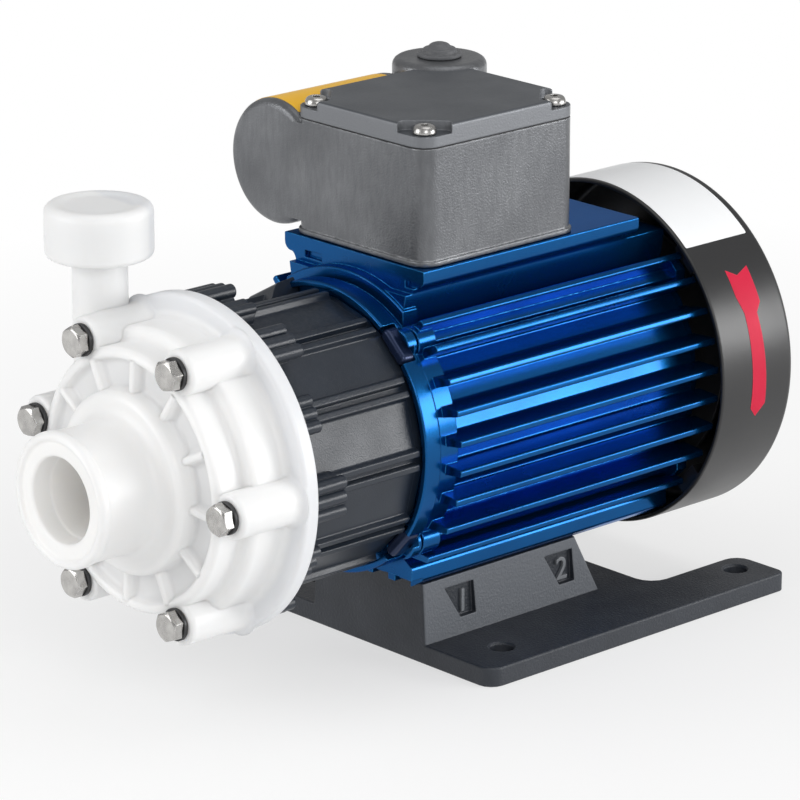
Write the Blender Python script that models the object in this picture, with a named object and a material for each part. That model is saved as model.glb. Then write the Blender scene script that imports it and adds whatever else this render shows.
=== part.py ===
"""Magnetic drive pump: a close-coupled plastic pump end on a finned motor.

Metres, +Z up. The pump and motor axis runs along Y, the suction nozzle looks
toward -Y and the fan end is at +Y. Z = 0 is the underside of the base, and
x = 0 is the plane through the shaft. Stations along Y, such as DISC_FRONT_Y,
count from the front face of the casing bolts' heads. The last step moves the
whole pump back along Y, so that the origin is the middle of the four anchor
holes on the underside of the base.
"""

import math

import bmesh
import bpy
from mathutils import Matrix, Vector

# Whole-part sizes
AXIS_H = 0.088
FIT_GAP = 0.0003
SEAT_GAP = 0.0002
EDGE = 0.0008

# Numbers of straight sides
OUTER_N = 36
ROUND_N = 30
MID_N = 20
INNER_N = 16
SMALL_N = 12
FINE_N = 8
HEX_N = 6
BALL_N = 6
BALL_ROWS = 4

# Casing bolts and their washers
BOLT_DEGS = (0.0, 60.0, 118.0, 168.0, 237.0, 298.0)
BOLT_CIRCLE_R = 0.052
HEX_FLATS = 0.010
HEAD_T = 0.004
BOLT_R = 0.0028
BOLT_HOLE_R = 0.0032
BOLT_LEN = 0.048
WASHER_R = 0.0063
WASHER_HOLE_R = 0.0030
WASHER_T = 0.0016
BOSS_R = 0.0082
BOSS_FRONT_Y = HEAD_T + WASHER_T + 2 * SEAT_GAP

# Suction nozzle
NOZZLE_LEN = 0.0263
NOZZLE_R = 0.0244
NOZZLE_BORE_R = 0.0153
NOZZLE_RING_R = 0.0215
NOZZLE_RECESS = 0.0012
NOZZLE_LIP = 0.0036
NOZZLE_STEP = 0.0007
COLLAR_R = 0.0340
COLLAR_FRONT_Y = 0.0004
COLLAR_FILLET = 0.0045

# Front casing
PANEL_Y = 0.0085
RIM_IN_R = 0.0436
RIM_R = 0.0470
RIM_FRONT_Y = 0.0052
SHOULDER_Y = 0.0165
DRUM_R = 0.0526
DRUM_STEP = 0.0032
DISC_R = 0.0614
DISC_FRONT_Y = 0.0325
DISC_T = 0.0062
DISC_REAR_Y = DISC_FRONT_Y + DISC_T
CHAMBER_R = 0.0430
CHAMBER_FRONT_Y = 0.0128
CHAMBER_REAR_Y = 0.0330
SEAT_R = 0.0470
RIB_COUNT = 12
RIB_START_DEG = -4.0
RIB_W = 0.0022
RIB_FRONT_Y = 0.0042

# Discharge neck and its cap
NECK_X = -0.0356
NECK_Y = 0.0228
NECK_R = 0.0099
NECK_BORE_R = 0.0060
NECK_ROOT_H = 0.0300
NECK_BORE_H = 0.0150
SPIGOT_R = 0.0152
SPIGOT_LOW_H = 0.0735
SPIGOT_LOW_Z = AXIS_H + SPIGOT_LOW_H
SPIGOT_LEN = 0.0097
SPIGOT_TOP_Z = SPIGOT_LOW_Z + SPIGOT_LEN
CAP_R = 0.0193
CAP_SKIRT = 0.0029
CAP_LOW_Z = SPIGOT_LOW_Z - CAP_SKIRT
CAP_H = 0.0191
CAP_BORE_R = 0.0160
CAP_ROUND = 0.0028
CAP_DISH = 0.0008
CAP_SEAL_R = 0.0150
CAP_SEAL_T = 0.0020

# Rear casing (the can), its ring seal and the fixed spindle
CAN_R = 0.0270
CAN_WALL = 0.0020
CAN_END_Y = 0.0850
CAN_SOCKET_R = 0.0090
CAN_SOCKET_LEN = 0.0080
SEAL_R = 0.0445
SEAL_SECTION_R = 0.0011
SPINDLE_R = 0.0050
SPINDLE_HEAD_R = 0.0065
SPINDLE_HEAD_T = 0.0020
BUSH_WALL = 0.0036
BUSH_FRONT_Y = 0.0330
BUSH_REAR_Y = 0.0740
THRUST_T = 0.0040
SPINDLE_FRONT_Y = BUSH_FRONT_Y - THRUST_T - SPINDLE_HEAD_T - 2 * SEAT_GAP

# Impeller and the magnet ring inside it
IMPELLER_R = 0.0390
SHROUD_T = 0.0020
EYE_R = 0.0150
SHROUD_FRONT_Y = 0.0150
BACK_SHROUD_Y = 0.0275
VANE_COUNT = 6
VANE_T = 0.0022
VANE_IN_R = 0.0160
VANE_SWEEP_DEG = 62.0
CAPSULE_R = 0.0243
CAPSULE_REAR_Y = 0.0745
CAPSULE_WALL = 0.0018
INNER_MAGNET_IN_R = 0.0140

# Bracket between pump and motor
BRACKET_R = 0.0492
BRACKET_BORE_R = 0.0440
BRACKET_REAR_Y = 0.0985
BRACKET_RIDGE_R = 0.0512
BRACKET_RIDGE_W = 0.0058
RIDGE_COUNT = 12
BRACKET_GROOVE_W = 0.0016
BRACKET_LIP_R = 0.0560
BRACKET_LIP_T = 0.0030
LUG_R = 0.0078
LUG_LEN = 0.0152
TALL_LUG_LEN = 0.0195
TALL_LUG_DEG = 101.0
LUG_HALF_STEP = 0.0100

# Drive magnets on the motor shaft
YOKE_R = 0.0380
YOKE_WALL = 0.0050
YOKE_FRONT_Y = 0.0460
YOKE_WEB_Y = 0.0868
YOKE_WEB_T = 0.0036
YOKE_HUB_R = 0.0120
YOKE_HUB_LEN = 0.0052
OUTER_MAGNET_IN_R = 0.0283
OUTER_MAGNET_LEN = 0.0370

# Motor front shield
SHIELD_RING_R = 0.0538
SHIELD_FRONT_Y = 0.0957
SHIELD_SEAT_R = 0.0516
SHIELD_STEP_Y = 0.1063
SHIELD_STEP_R = 0.0522
SHIELD_WEB_T = 0.0050
SHIELD_RIM_R = 0.0407
HOUSING_R = 0.0220
SHIELD_SPIGOT_LEN = 0.0032
TIE_CIRCLE_R = 0.0515
TIE_COUNT = 4
TIE_START_DEG = 47.0
TIE_LUG_R = 0.0058
TIE_POCKET_R = 0.0062
TIE_R = 0.0020
TIE_HOLE_R = 0.0024
TIE_HEAD_R = 0.0042
TIE_HEAD_T = 0.0030
TIE_SEAT_Y = BRACKET_REAR_Y + TIE_HEAD_T + FIT_GAP + SEAT_GAP

# Motor frame
FRAME_FRONT_Y = 0.1100
FRAME_REAR_Y = 0.2340
FRAME_BORE_R = 0.0440
FRAME_R = 0.0500
FIN_R = 0.0605
FIN_T = 0.0025
FIN_ROOT_T = 0.0036
FIN_STEP_DEG = 12.0
FIN_SIDE_COUNT = 4
RECESS_R = 0.0573
RECESS_T = 0.0030
DECK_HALF = 0.0370
DECK_WEB_HALF = 0.0312
DECK_TOP_H = 0.0628
DECK_T = 0.0066
DECK_REAR_Y = 0.2160
FOOT_HALF = 0.0285
FOOT_SIDE_HALF = 0.0345
FOOT_H = 0.0574
FOOT_CORNER_H = 0.0535
FOOT_TOP_H = 0.0478
WIRE_HOLE_R = 0.0060
WIRE_HOLE_Y = 0.1500

# Motor rear shield, bearings, shaft
REAR_SHIELD_R = 0.0485
REAR_WEB_T = 0.0040
REAR_HOUSING_LEN = 0.0128
BEARING_R = 0.0175
BEARING_BORE_R = 0.0075
BEARING_W = 0.0110
FRONT_BEARING_Y = 0.1006
RACE_T = 0.0024
BALL_COUNT = 7
BALL_R = 0.0021
CAGE_W = 0.0030
CAGE_T = 0.0012
SHAFT_R = 0.0074
SHAFT_END_R = 0.0068
SHAFT_FRONT_Y = 0.0878
SHAFT_CORE_R = 0.0100
FAN_SHAFT_R = 0.0060
LIP_HOLE_R = 0.0092

# Stator and rotor
CORE_FRONT_Y = 0.1330
CORE_REAR_Y = 0.1950
CORE_BORE_R = 0.0259
SLOT_COUNT = 12
SLOT_IN_R = 0.0285
SLOT_OUT_R = 0.0385
SLOT_W = 0.0080
COIL_OVERHANG = 0.0140
ROTOR_R = 0.0251
ROTOR_RING_T = 0.0040
ROTOR_RING_IN_R = 0.0160

# Cooling fan and its cover
FAN_R = 0.0500
FAN_HUB_R = 0.0110
FAN_FRONT_Y = 0.2500
FAN_PLATE_T = 0.0016
FAN_BLADE_LEN = 0.0105
FAN_BLADE_T = 0.0020
FAN_BLADES = 7
COVER_T = 0.0015
COVER_GAP = 0.0055
COVER_R = FIN_R + COVER_GAP + COVER_T
COVER_FRONT_Y = 0.2316
COVER_REAR_Y = 0.2665
COVER_BEVEL = 0.0024
GRILLE_IN_R = 0.0150
GRILLE_MID_R = 0.0290
GRILLE_OUT_R = 0.0460
GRILLE_BAR = 0.0040
GRILLE_SLOT_W = 0.0034
GRILLE_COUNT = 16
COVER_PAD_W = 0.0120
COVER_PAD_LEN = 0.0060

# Base
BASE_HALF = 0.0650
BASE_FRONT_Y = 0.1170
BASE_REAR_Y = 0.2720
BASE_T = 0.0072
BASE_CORNER_R = 0.0060
LEG_IN_X = 0.0395
CUT_FRONT_Y = 0.2250
CUT_CORNER_R = 0.0050
PEDESTAL_HALF = 0.0305
PEDESTAL_TOP_HALF = 0.0293
PEDESTAL_TOP_Z = AXIS_H - FOOT_H - FIT_GAP
PEDESTAL_REAR_Y = 0.2060
PEDESTAL_TOP_REAR_Y = 0.1945
BASE_HOLE_R = 0.0045
BASE_HOLE_X = 0.0500
BASE_HOLE_FRONT_Y = 0.1368
BASE_HOLE_REAR_Y = 0.2599
BASE_SKIRT_T = 0.0060
POCKET_DEPTH = 0.0014
POCKET_LOW_Z = 0.0137
POCKET_TOP_Z = 0.0263
POCKET_W = 0.0145
POCKET_FRONT_Y = 0.1275
POCKET_PITCH = 0.0505
POCKET_SLANT = 0.0075
FOOT_SCREW_R = 0.0024
FOOT_SCREW_HOLE_R = 0.0029
FOOT_SCREW_HEAD_R = 0.0046
FOOT_SCREW_HEAD_T = 0.0030
FOOT_SCREW_X = 0.0185
FOOT_SCREW_FRONT_Y = 0.1330
FOOT_SCREW_REAR_Y = 0.1800
FOOT_SCREW_BITE = 0.0060
CEILING_T = 0.0080

# Terminal box and drum
BOX_HALF = 0.0347
BOX_FRONT_Y = 0.1120
BOX_REAR_Y = 0.1880
BOX_LOW_Z = AXIS_H + DECK_TOP_H + FIT_GAP
BOX_H = 0.0419
BOX_TOP_Z = BOX_LOW_Z + BOX_H
BOX_WALL = 0.0028
BOX_CORNER_R = 0.0070
BOX_FLANGE = 0.0012
BOX_FLANGE_H = 0.0022
DRUM_REACH = 0.0125
DRUM_X = -BOX_HALF - DRUM_REACH
DRUM_SHELL_R = 0.0226
DRUM_Z = BOX_LOW_Z + DRUM_SHELL_R
DRUM_REAR_Y = 0.1740
DRUM_WALL = 0.0026
DRUM_EDGE = 0.0022
CAN_CAP_R = 0.0196
CAN_CAP_FRONT_Y = 0.1245
CAN_CAP_LEN = DRUM_REAR_Y - DRUM_WALL - SEAT_GAP - CAN_CAP_FRONT_Y
TOWER_REACH = 0.0038
TOWER_X = -BOX_HALF - TOWER_REACH
TOWER_Y = BOX_REAR_Y
TOWER_R = 0.0176
TOWER_RISE = 0.0100
TOWER_H = 0.0310
TOWER_TOP_Z = BOX_TOP_Z + TOWER_RISE
TOWER_LOW_Z = TOWER_TOP_Z - TOWER_H
TOWER_BORE_R = 0.0062
TOWER_EDGE = 0.0030
GASKET_T = 0.0008
LID_T = 0.0074
LID_EDGE = 0.0010
RIM_ANGLE_DEG = 60.0
LID_SCREW_INSET = 0.0062
NOTCH_REACH = 0.0139
NOTCH_HALF = 0.0095
NOTCH_DEPTH = 0.0036
LID_SCREW_R = 0.0020
LID_SCREW_HEAD_R = 0.0043
LID_SCREW_HEAD_T = 0.0030
LID_SCREW_LEN = 0.0120
SCREW_POST_R = 0.0042
GLAND_R = 0.0100
GLAND_MID_R = 0.0074
GLAND_TOP_R = 0.0048
GLAND_STEP = 0.0026
GLAND_TIP = 0.0040
GLAND_TAIL = 0.0080
BLOCK_LEN = 0.0360
BLOCK_W = 0.0180
BLOCK_H = 0.0120
STUD_R = 0.0020
STUD_H = 0.0060
STUD_COUNT = 3

# Casting shape of a curved vane and of rounded corners, as shares
VANE_SHARES = (0.0, 0.25, 0.5, 0.75, 1.0)
CORNER_SHARES = (0.0, 0.25, 0.5, 0.75, 1.0)
WAY_SHARE = 0.33
WAY_WIDE_SHARE = 1.4
COIL_TAPER_SHARE = 0.8


def clear_scene():
    for old in list(bpy.data.objects):
        bpy.data.objects.remove(old, do_unlink=True)


def paint(name, colour, roughness, metallic):
    made = bpy.data.materials.new(name)
    made.use_nodes = True
    shader = made.node_tree.nodes["Principled BSDF"]
    shader.inputs["Base Color"].default_value = (*colour, 1.0)
    shader.inputs["Roughness"].default_value = roughness
    shader.inputs["Metallic"].default_value = metallic
    made.diffuse_color = (*colour, 1.0)
    return made


# Mesh makers. Each returns a bmesh in the piece's own coordinates.


def swept_ring(profile, sides, axis):
    """Turns a closed outline of (radius, height) points about the axis."""
    bm = bmesh.new()
    rows = []
    for radius, height in profile:
        row = []
        for i in range(sides if radius > 0 else 1):
            turn = 2 * math.pi * i / sides
            u = radius * math.cos(turn)
            v = radius * math.sin(turn)
            spot = (u, height, v) if axis == "Y" else (u, v, height)
            row.append(bm.verts.new(spot))
        rows.append(row)
    for j, row in enumerate(rows):
        after = rows[(j + 1) % len(rows)]
        if len(row) == 1 and len(after) == 1:
            continue
        for i in range(sides):
            k = (i + 1) % sides
            ring = [row[i % len(row)], row[k % len(row)]]
            ring += [after[k % len(after)], after[i % len(after)]]
            corners = []
            for corner in ring:
                if corner not in corners:
                    corners.append(corner)
            bm.faces.new(corners)
    return outward(bm)


def outward(bm):
    bmesh.ops.recalc_face_normals(bm, faces=bm.faces[:])
    return bm


def slab(outline, low, high, axis):
    """Pushes an outline of (u, v) points along the axis from low to high."""
    bm = bmesh.new()
    rows = []
    for level in (low, high):
        row = []
        for u, v in outline:
            spot = {"X": (level, u, v), "Y": (u, level, v), "Z": (u, v, level)}[axis]
            row.append(bm.verts.new(spot))
        rows.append(row)
    bm.faces.new(rows[0])
    bm.faces.new(rows[1])
    for i in range(len(outline)):
        k = (i + 1) % len(outline)
        bm.faces.new((rows[0][i], rows[0][k], rows[1][k], rows[1][i]))
    return outward(bm)


def box(x_low, x_high, y_low, y_high, z_low, z_high):
    outline = ((x_low, y_low), (x_high, y_low), (x_high, y_high), (x_low, y_high))
    return slab(outline, z_low, z_high, "Z")


def rod(radius, low, high, sides, axis, u=0, v=0):
    """A round bar along the axis whose centre line passes through (u, v)."""
    outline = []
    for i in range(sides):
        turn = 2 * math.pi * (i + 0.5) / sides
        outline.append((u + radius * math.cos(turn), v + radius * math.sin(turn)))
    return slab(outline, low, high, axis)


def rounded(half_x, low_y, high_y, radius):
    """A rectangle with round corners, as (x, y) points."""
    spots = []
    for sx, y, start in ((1, low_y, -90), (1, high_y, 0), (-1, high_y, 90), (-1, low_y, 180)):
        cy = y + radius if y == low_y else y - radius
        for share in CORNER_SHARES:
            turn = math.radians(start + 90 * share)
            cx = sx * (half_x - radius)
            spots.append((cx + radius * math.cos(turn), cy + radius * math.sin(turn)))
    return spots


def joined(parts):
    """Several loose meshes as one, for use as a cutter or an addition."""
    whole = bmesh.new()
    for part in parts:
        kept = bpy.data.meshes.new("kept")
        part.to_mesh(kept)
        part.free()
        whole.from_mesh(kept)
        bpy.data.meshes.remove(kept)
    return whole


def turned(bm, degrees, axis):
    bmesh.ops.transform(bm, matrix=Matrix.Rotation(math.radians(degrees), 4, axis), verts=bm.verts[:])
    return bm


def shifted(bm, x, y, z):
    bmesh.ops.translate(bm, vec=Vector((x, y, z)), verts=bm.verts[:])
    return bm


def spin_copies(maker, count, start_deg, axis):
    """Copies of one shape spread evenly round the axis."""
    parts = []
    for i in range(count):
        parts.append(turned(maker(), start_deg + 360 * i / count, axis))
    return joined(parts)


def bolt_copies(maker, angles=BOLT_DEGS):
    """Copies of one shape at the casing bolts' angles, from +X toward +Z."""
    parts = []
    for angle in angles:
        parts.append(turned(maker(), -angle, "Y"))
    return joined(parts)


def between_bolts():
    angles = []
    for first, second in zip(BOLT_DEGS, BOLT_DEGS[1:] + (BOLT_DEGS[0] + 360,)):
        angles.append((first + second) / 2)
    return angles


def piece(name, bm, material, origin=(0, 0, AXIS_H)):
    """Makes the named object. The mesh is in coordinates about its origin."""
    mesh = bpy.data.meshes.new(name)
    bm.to_mesh(mesh)
    bm.free()
    obj = bpy.data.objects.new(name, mesh)
    obj.location = origin
    if material is not None:
        mesh.materials.append(material)
    bpy.context.scene.collection.objects.link(obj)
    return obj


def shape(obj, bm, operation):
    """Cuts the mesh from the object, or adds it, and keeps the result."""
    helper = piece(obj.name + "_helper", bm, None, obj.location)
    helper.hide_render = True
    helper.display_type = "WIRE"
    step = obj.modifiers.new("step", "BOOLEAN")
    step.operation = operation
    step.solver = "EXACT"
    step.object = helper
    bpy.context.view_layer.update()
    graph = bpy.context.evaluated_depsgraph_get()
    result = bpy.data.meshes.new_from_object(obj.evaluated_get(graph))
    obj.modifiers.clear()
    old = obj.data
    result.name = old.name
    obj.data = result
    bpy.data.meshes.remove(old)
    bpy.data.objects.remove(helper, do_unlink=True)
    return obj


def cut(obj, bm):
    return shape(obj, bm, "DIFFERENCE")


def add(obj, bm):
    return shape(obj, bm, "UNION")


# Pump end


def build_front_casing(white):
    back_y = -NOZZLE_LEN + NOZZLE_RECESS
    lip_y = -NOZZLE_LEN + NOZZLE_LIP
    barrel_r = NOZZLE_R - NOZZLE_STEP
    rough_r = CHAMBER_R - EDGE / 2
    profile = [
        (NOZZLE_BORE_R, back_y),
        (NOZZLE_RING_R, back_y),
        (NOZZLE_RING_R + EDGE, -NOZZLE_LEN),
        (NOZZLE_R - EDGE, -NOZZLE_LEN),
        (NOZZLE_R, -NOZZLE_LEN + EDGE),
        (NOZZLE_R, lip_y),
        (barrel_r, lip_y + EDGE),
        (barrel_r, COLLAR_FRONT_Y - COLLAR_FILLET),
        (barrel_r + COLLAR_FILLET, COLLAR_FRONT_Y),
        (COLLAR_R - EDGE, COLLAR_FRONT_Y + EDGE),
        (COLLAR_R + EDGE, PANEL_Y),
        (RIM_IN_R - EDGE, PANEL_Y),
        (RIM_IN_R, RIM_FRONT_Y),
        (RIM_R - 2 * EDGE, RIM_FRONT_Y + EDGE),
        (RIM_R, RIM_FRONT_Y + 4 * EDGE),
        (RIM_R, SHOULDER_Y),
        (DRUM_R - 2 * EDGE, SHOULDER_Y + 2 * EDGE),
        (DRUM_R, SHOULDER_Y + DRUM_STEP + 2 * EDGE),
        (DRUM_R, DISC_FRONT_Y),
        (DISC_R - EDGE, DISC_FRONT_Y),
        (DISC_R, DISC_FRONT_Y + EDGE),
        (DISC_R, DISC_REAR_Y),
        (SEAT_R, DISC_REAR_Y),
        (SEAT_R, CHAMBER_REAR_Y),
        (rough_r, CHAMBER_REAR_Y),
        (rough_r, CHAMBER_FRONT_Y + EDGE / 2),
        (NOZZLE_BORE_R, CHAMBER_FRONT_Y + EDGE / 2),
    ]
    casing = piece("front_casing", swept_ring(profile, OUTER_N, "Y"), white)

    def boss():
        ends = [
            (0, BOSS_FRONT_Y),
            (BOSS_R - EDGE, BOSS_FRONT_Y),
            (BOSS_R, BOSS_FRONT_Y + EDGE),
            (BOSS_R, DISC_FRONT_Y + SEAT_GAP),
            (0, DISC_FRONT_Y + SEAT_GAP),
        ]
        return shifted(swept_ring(ends, SMALL_N, "Y"), BOLT_CIRCLE_R, 0, 0)

    def rib():
        inner = COLLAR_R - EDGE
        outer = RIM_IN_R + EDGE
        side = ((inner, RIB_FRONT_Y - EDGE), (outer, RIB_FRONT_Y + 2 * EDGE))
        outline = (*side, (outer, PANEL_Y + EDGE), (inner, PANEL_Y + EDGE))
        return slab(outline, -RIB_W / 2, RIB_W / 2, "Z")

    add(casing, bolt_copies(boss))
    add(casing, spin_copies(rib, RIB_COUNT, -RIB_START_DEG, "Y"))
    spigot_low = SPIGOT_LOW_Z - AXIS_H
    neck_outline = [
        (0, NECK_ROOT_H),
        (NECK_R, NECK_ROOT_H),
        (NECK_R, spigot_low - (SPIGOT_R - NECK_R) / 2),
        (SPIGOT_R, spigot_low),
        (SPIGOT_R, SPIGOT_TOP_Z - AXIS_H - EDGE),
        (SPIGOT_R - EDGE, SPIGOT_TOP_Z - AXIS_H),
        (0, SPIGOT_TOP_Z - AXIS_H),
    ]
    add(casing, shifted(swept_ring(neck_outline, MID_N, "Z"), NECK_X, NECK_Y, 0))
    chamber = [
        (0, CHAMBER_FRONT_Y),
        (CHAMBER_R, CHAMBER_FRONT_Y),
        (CHAMBER_R, CHAMBER_REAR_Y + EDGE),
        (0, CHAMBER_REAR_Y + EDGE),
    ]
    cut(casing, swept_ring(chamber, OUTER_N, "Y"))
    cut(casing, rod(NECK_BORE_R, NECK_BORE_H, SPIGOT_TOP_Z - AXIS_H + EDGE, SMALL_N, "Z", NECK_X, NECK_Y))

    def hole():
        return rod(BOLT_HOLE_R, BOSS_FRONT_Y - EDGE, DISC_REAR_Y + EDGE, FINE_N, "Y", BOLT_CIRCLE_R)

    cut(casing, bolt_copies(hole))
    return casing


def build_cap(white, seal_grey):
    top = CAP_LOW_Z + CAP_H
    ceiling = SPIGOT_TOP_Z + CAP_SEAL_T + 2 * SEAT_GAP
    origin = (NECK_X, NECK_Y, CAP_LOW_Z)
    profile = [
        (0, top - CAP_DISH),
        (CAP_R - 2 * CAP_ROUND, top - CAP_DISH),
        (CAP_R - CAP_ROUND, top),
        (CAP_R - CAP_ROUND / 3, top - CAP_ROUND / 3),
        (CAP_R, top - CAP_ROUND),
        (CAP_R, CAP_LOW_Z + CAP_ROUND),
        (CAP_R - CAP_ROUND / 3, CAP_LOW_Z + CAP_ROUND / 3),
        (CAP_R - CAP_ROUND / 2, CAP_LOW_Z),
        (CAP_BORE_R, CAP_LOW_Z),
        (CAP_BORE_R, ceiling),
        (0, ceiling),
    ]
    local = [(r, z - CAP_LOW_Z) for r, z in profile]
    piece("discharge_cap", swept_ring(local, ROUND_N, "Z"), white, origin)
    low = SPIGOT_TOP_Z + SEAT_GAP - CAP_LOW_Z
    seal = rod(CAP_SEAL_R, low, low + CAP_SEAL_T, MID_N, "Z")
    piece("cap_seal", seal, seal_grey, origin)


def build_casing_bolts(steel, dark):
    for i, angle in enumerate(BOLT_DEGS):
        turn = math.radians(angle)
        spot = (BOLT_CIRCLE_R * math.cos(turn), 0, AXIS_H + BOLT_CIRCLE_R * math.sin(turn))
        head = rod(HEX_FLATS / math.sqrt(3), 0, HEAD_T, HEX_N, "Y")
        bolt = piece(f"casing_bolt_{i + 1}", head, steel, spot)
        add(bolt, rod(BOLT_R, HEAD_T / 2, HEAD_T + BOLT_LEN, FINE_N, "Y"))
        low = HEAD_T + SEAT_GAP
        ring = [
            (WASHER_HOLE_R, low),
            (WASHER_R, low),
            (WASHER_R, low + WASHER_T),
            (WASHER_HOLE_R, low + WASHER_T),
        ]
        piece(f"lock_washer_{i + 1}", swept_ring(ring, SMALL_N, "Y"), dark, spot)


def build_can(shell, rubber, ceramic):
    flange_y = CHAMBER_REAR_Y + 2 * SEAL_SECTION_R + SEAT_GAP
    inner_r = CAN_R - CAN_WALL
    flange_rear = DISC_REAR_Y
    socket_y = CAN_END_Y - CAN_WALL - CAN_SOCKET_LEN
    hole_r = SPINDLE_R + SEAT_GAP
    profile = [
        (inner_r, flange_y),
        (SEAT_R - FIT_GAP, flange_y),
        (SEAT_R - FIT_GAP, flange_rear),
        (CAN_R, flange_rear),
        (CAN_R, CAN_END_Y - EDGE),
        (CAN_R - EDGE, CAN_END_Y),
        (0, CAN_END_Y),
        (0, CAN_END_Y - CAN_WALL),
        (hole_r, CAN_END_Y - CAN_WALL),
        (hole_r, socket_y),
        (CAN_SOCKET_R, socket_y),
        (CAN_SOCKET_R, CAN_END_Y - CAN_WALL),
        (inner_r, CAN_END_Y - CAN_WALL),
    ]
    piece("rear_casing", swept_ring(profile, MID_N, "Y"), shell)
    ring = []
    for i in range(BALL_N):
        turn = 2 * math.pi * i / BALL_N
        mid_y = CHAMBER_REAR_Y + SEAL_SECTION_R + SEAT_GAP / 2
        ring.append((SEAL_R + SEAL_SECTION_R * math.cos(turn), mid_y + SEAL_SECTION_R * math.sin(turn)))
    piece("casing_o_ring", swept_ring(ring, MID_N, "Y"), rubber)
    head_rear = SPINDLE_FRONT_Y + SPINDLE_HEAD_T
    bar = [
        (0, SPINDLE_FRONT_Y),
        (SPINDLE_HEAD_R, SPINDLE_FRONT_Y),
        (SPINDLE_HEAD_R, head_rear),
        (SPINDLE_R, head_rear),
        (SPINDLE_R, CAN_END_Y - CAN_WALL - SEAT_GAP),
        (0, CAN_END_Y - CAN_WALL - SEAT_GAP),
    ]
    piece("spindle", swept_ring(bar, INNER_N, "Y"), ceramic)


def build_impeller(white, magnet, carbon, ceramic):
    hub_bore = SPINDLE_R + BUSH_WALL + 2 * SEAT_GAP
    back_rear = BACK_SHROUD_Y + SHROUD_T
    magnet_out = CAPSULE_R - CAPSULE_WALL
    magnet_in = INNER_MAGNET_IN_R
    body = [
        (hub_bore, BACK_SHROUD_Y - SHROUD_T),
        (hub_bore + SHROUD_T, BACK_SHROUD_Y - SHROUD_T),
        (hub_bore + 2 * SHROUD_T, BACK_SHROUD_Y),
        (IMPELLER_R, BACK_SHROUD_Y),
        (IMPELLER_R, back_rear),
        (CAPSULE_R, back_rear + SHROUD_T),
        (CAPSULE_R, CAPSULE_REAR_Y),
        (magnet_out, CAPSULE_REAR_Y),
        (magnet_out, back_rear + SHROUD_T),
        (magnet_in - FIT_GAP, back_rear + SHROUD_T),
        (magnet_in - FIT_GAP, CAPSULE_REAR_Y),
        (hub_bore, CAPSULE_REAR_Y),
    ]
    impeller = piece("impeller", swept_ring(body, INNER_N + FINE_N, "Y"), white)
    front_rear = SHROUD_FRONT_Y + SHROUD_T
    depth = BACK_SHROUD_Y + SHROUD_T / 2 - front_rear + SHROUD_T / 2

    def vane():
        outer = []
        inner = []
        for share in VANE_SHARES:
            r = VANE_IN_R + (IMPELLER_R - EDGE - VANE_IN_R) * share
            turn = math.radians(-VANE_SWEEP_DEG * share)
            half = math.asin(VANE_T / 2 / r)
            outer.append((r * math.cos(turn + half), r * math.sin(turn + half)))
            inner.append((r * math.cos(turn - half), r * math.sin(turn - half)))
        low = front_rear - SHROUD_T / 2
        return slab(outer + inner[::-1], low, low + depth, "Y")

    add(impeller, spin_copies(vane, VANE_COUNT, 0, "Y"))
    front = [
        (EYE_R, SHROUD_FRONT_Y - SHROUD_T / 2),
        (EYE_R + SHROUD_T, SHROUD_FRONT_Y - SHROUD_T / 2),
        (EYE_R + 2 * SHROUD_T, SHROUD_FRONT_Y),
        (IMPELLER_R, SHROUD_FRONT_Y + SHROUD_T),
        (IMPELLER_R, SHROUD_FRONT_Y + 2 * SHROUD_T),
        (EYE_R + SHROUD_T, front_rear),
        (EYE_R, front_rear),
    ]
    add(impeller, swept_ring(front, INNER_N + FINE_N, "Y"))
    low = back_rear + SHROUD_T + SEAT_GAP
    ring = [
        (magnet_in, low),
        (magnet_out - FIT_GAP, low),
        (magnet_out - FIT_GAP, CAPSULE_REAR_Y - SEAT_GAP),
        (magnet_in, CAPSULE_REAR_Y - SEAT_GAP),
    ]
    piece("driven_magnet", swept_ring(ring, MID_N, "Y"), magnet)
    bush_in = SPINDLE_R + SEAT_GAP
    bush_out = hub_bore - SEAT_GAP
    bush = [
        (bush_in, BUSH_FRONT_Y),
        (bush_out, BUSH_FRONT_Y),
        (bush_out, BUSH_REAR_Y),
        (bush_in, BUSH_REAR_Y),
    ]
    piece("impeller_bush", swept_ring(bush, INNER_N, "Y"), carbon)
    thrust_rear = BUSH_FRONT_Y - SEAT_GAP
    thrust_out = hub_bore - FIT_GAP
    thrust = [
        (bush_in, thrust_rear - THRUST_T),
        (thrust_out, thrust_rear - THRUST_T),
        (thrust_out, thrust_rear),
        (bush_in, thrust_rear),
    ]
    piece("thrust_ring", swept_ring(thrust, INNER_N, "Y"), ceramic)


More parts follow.
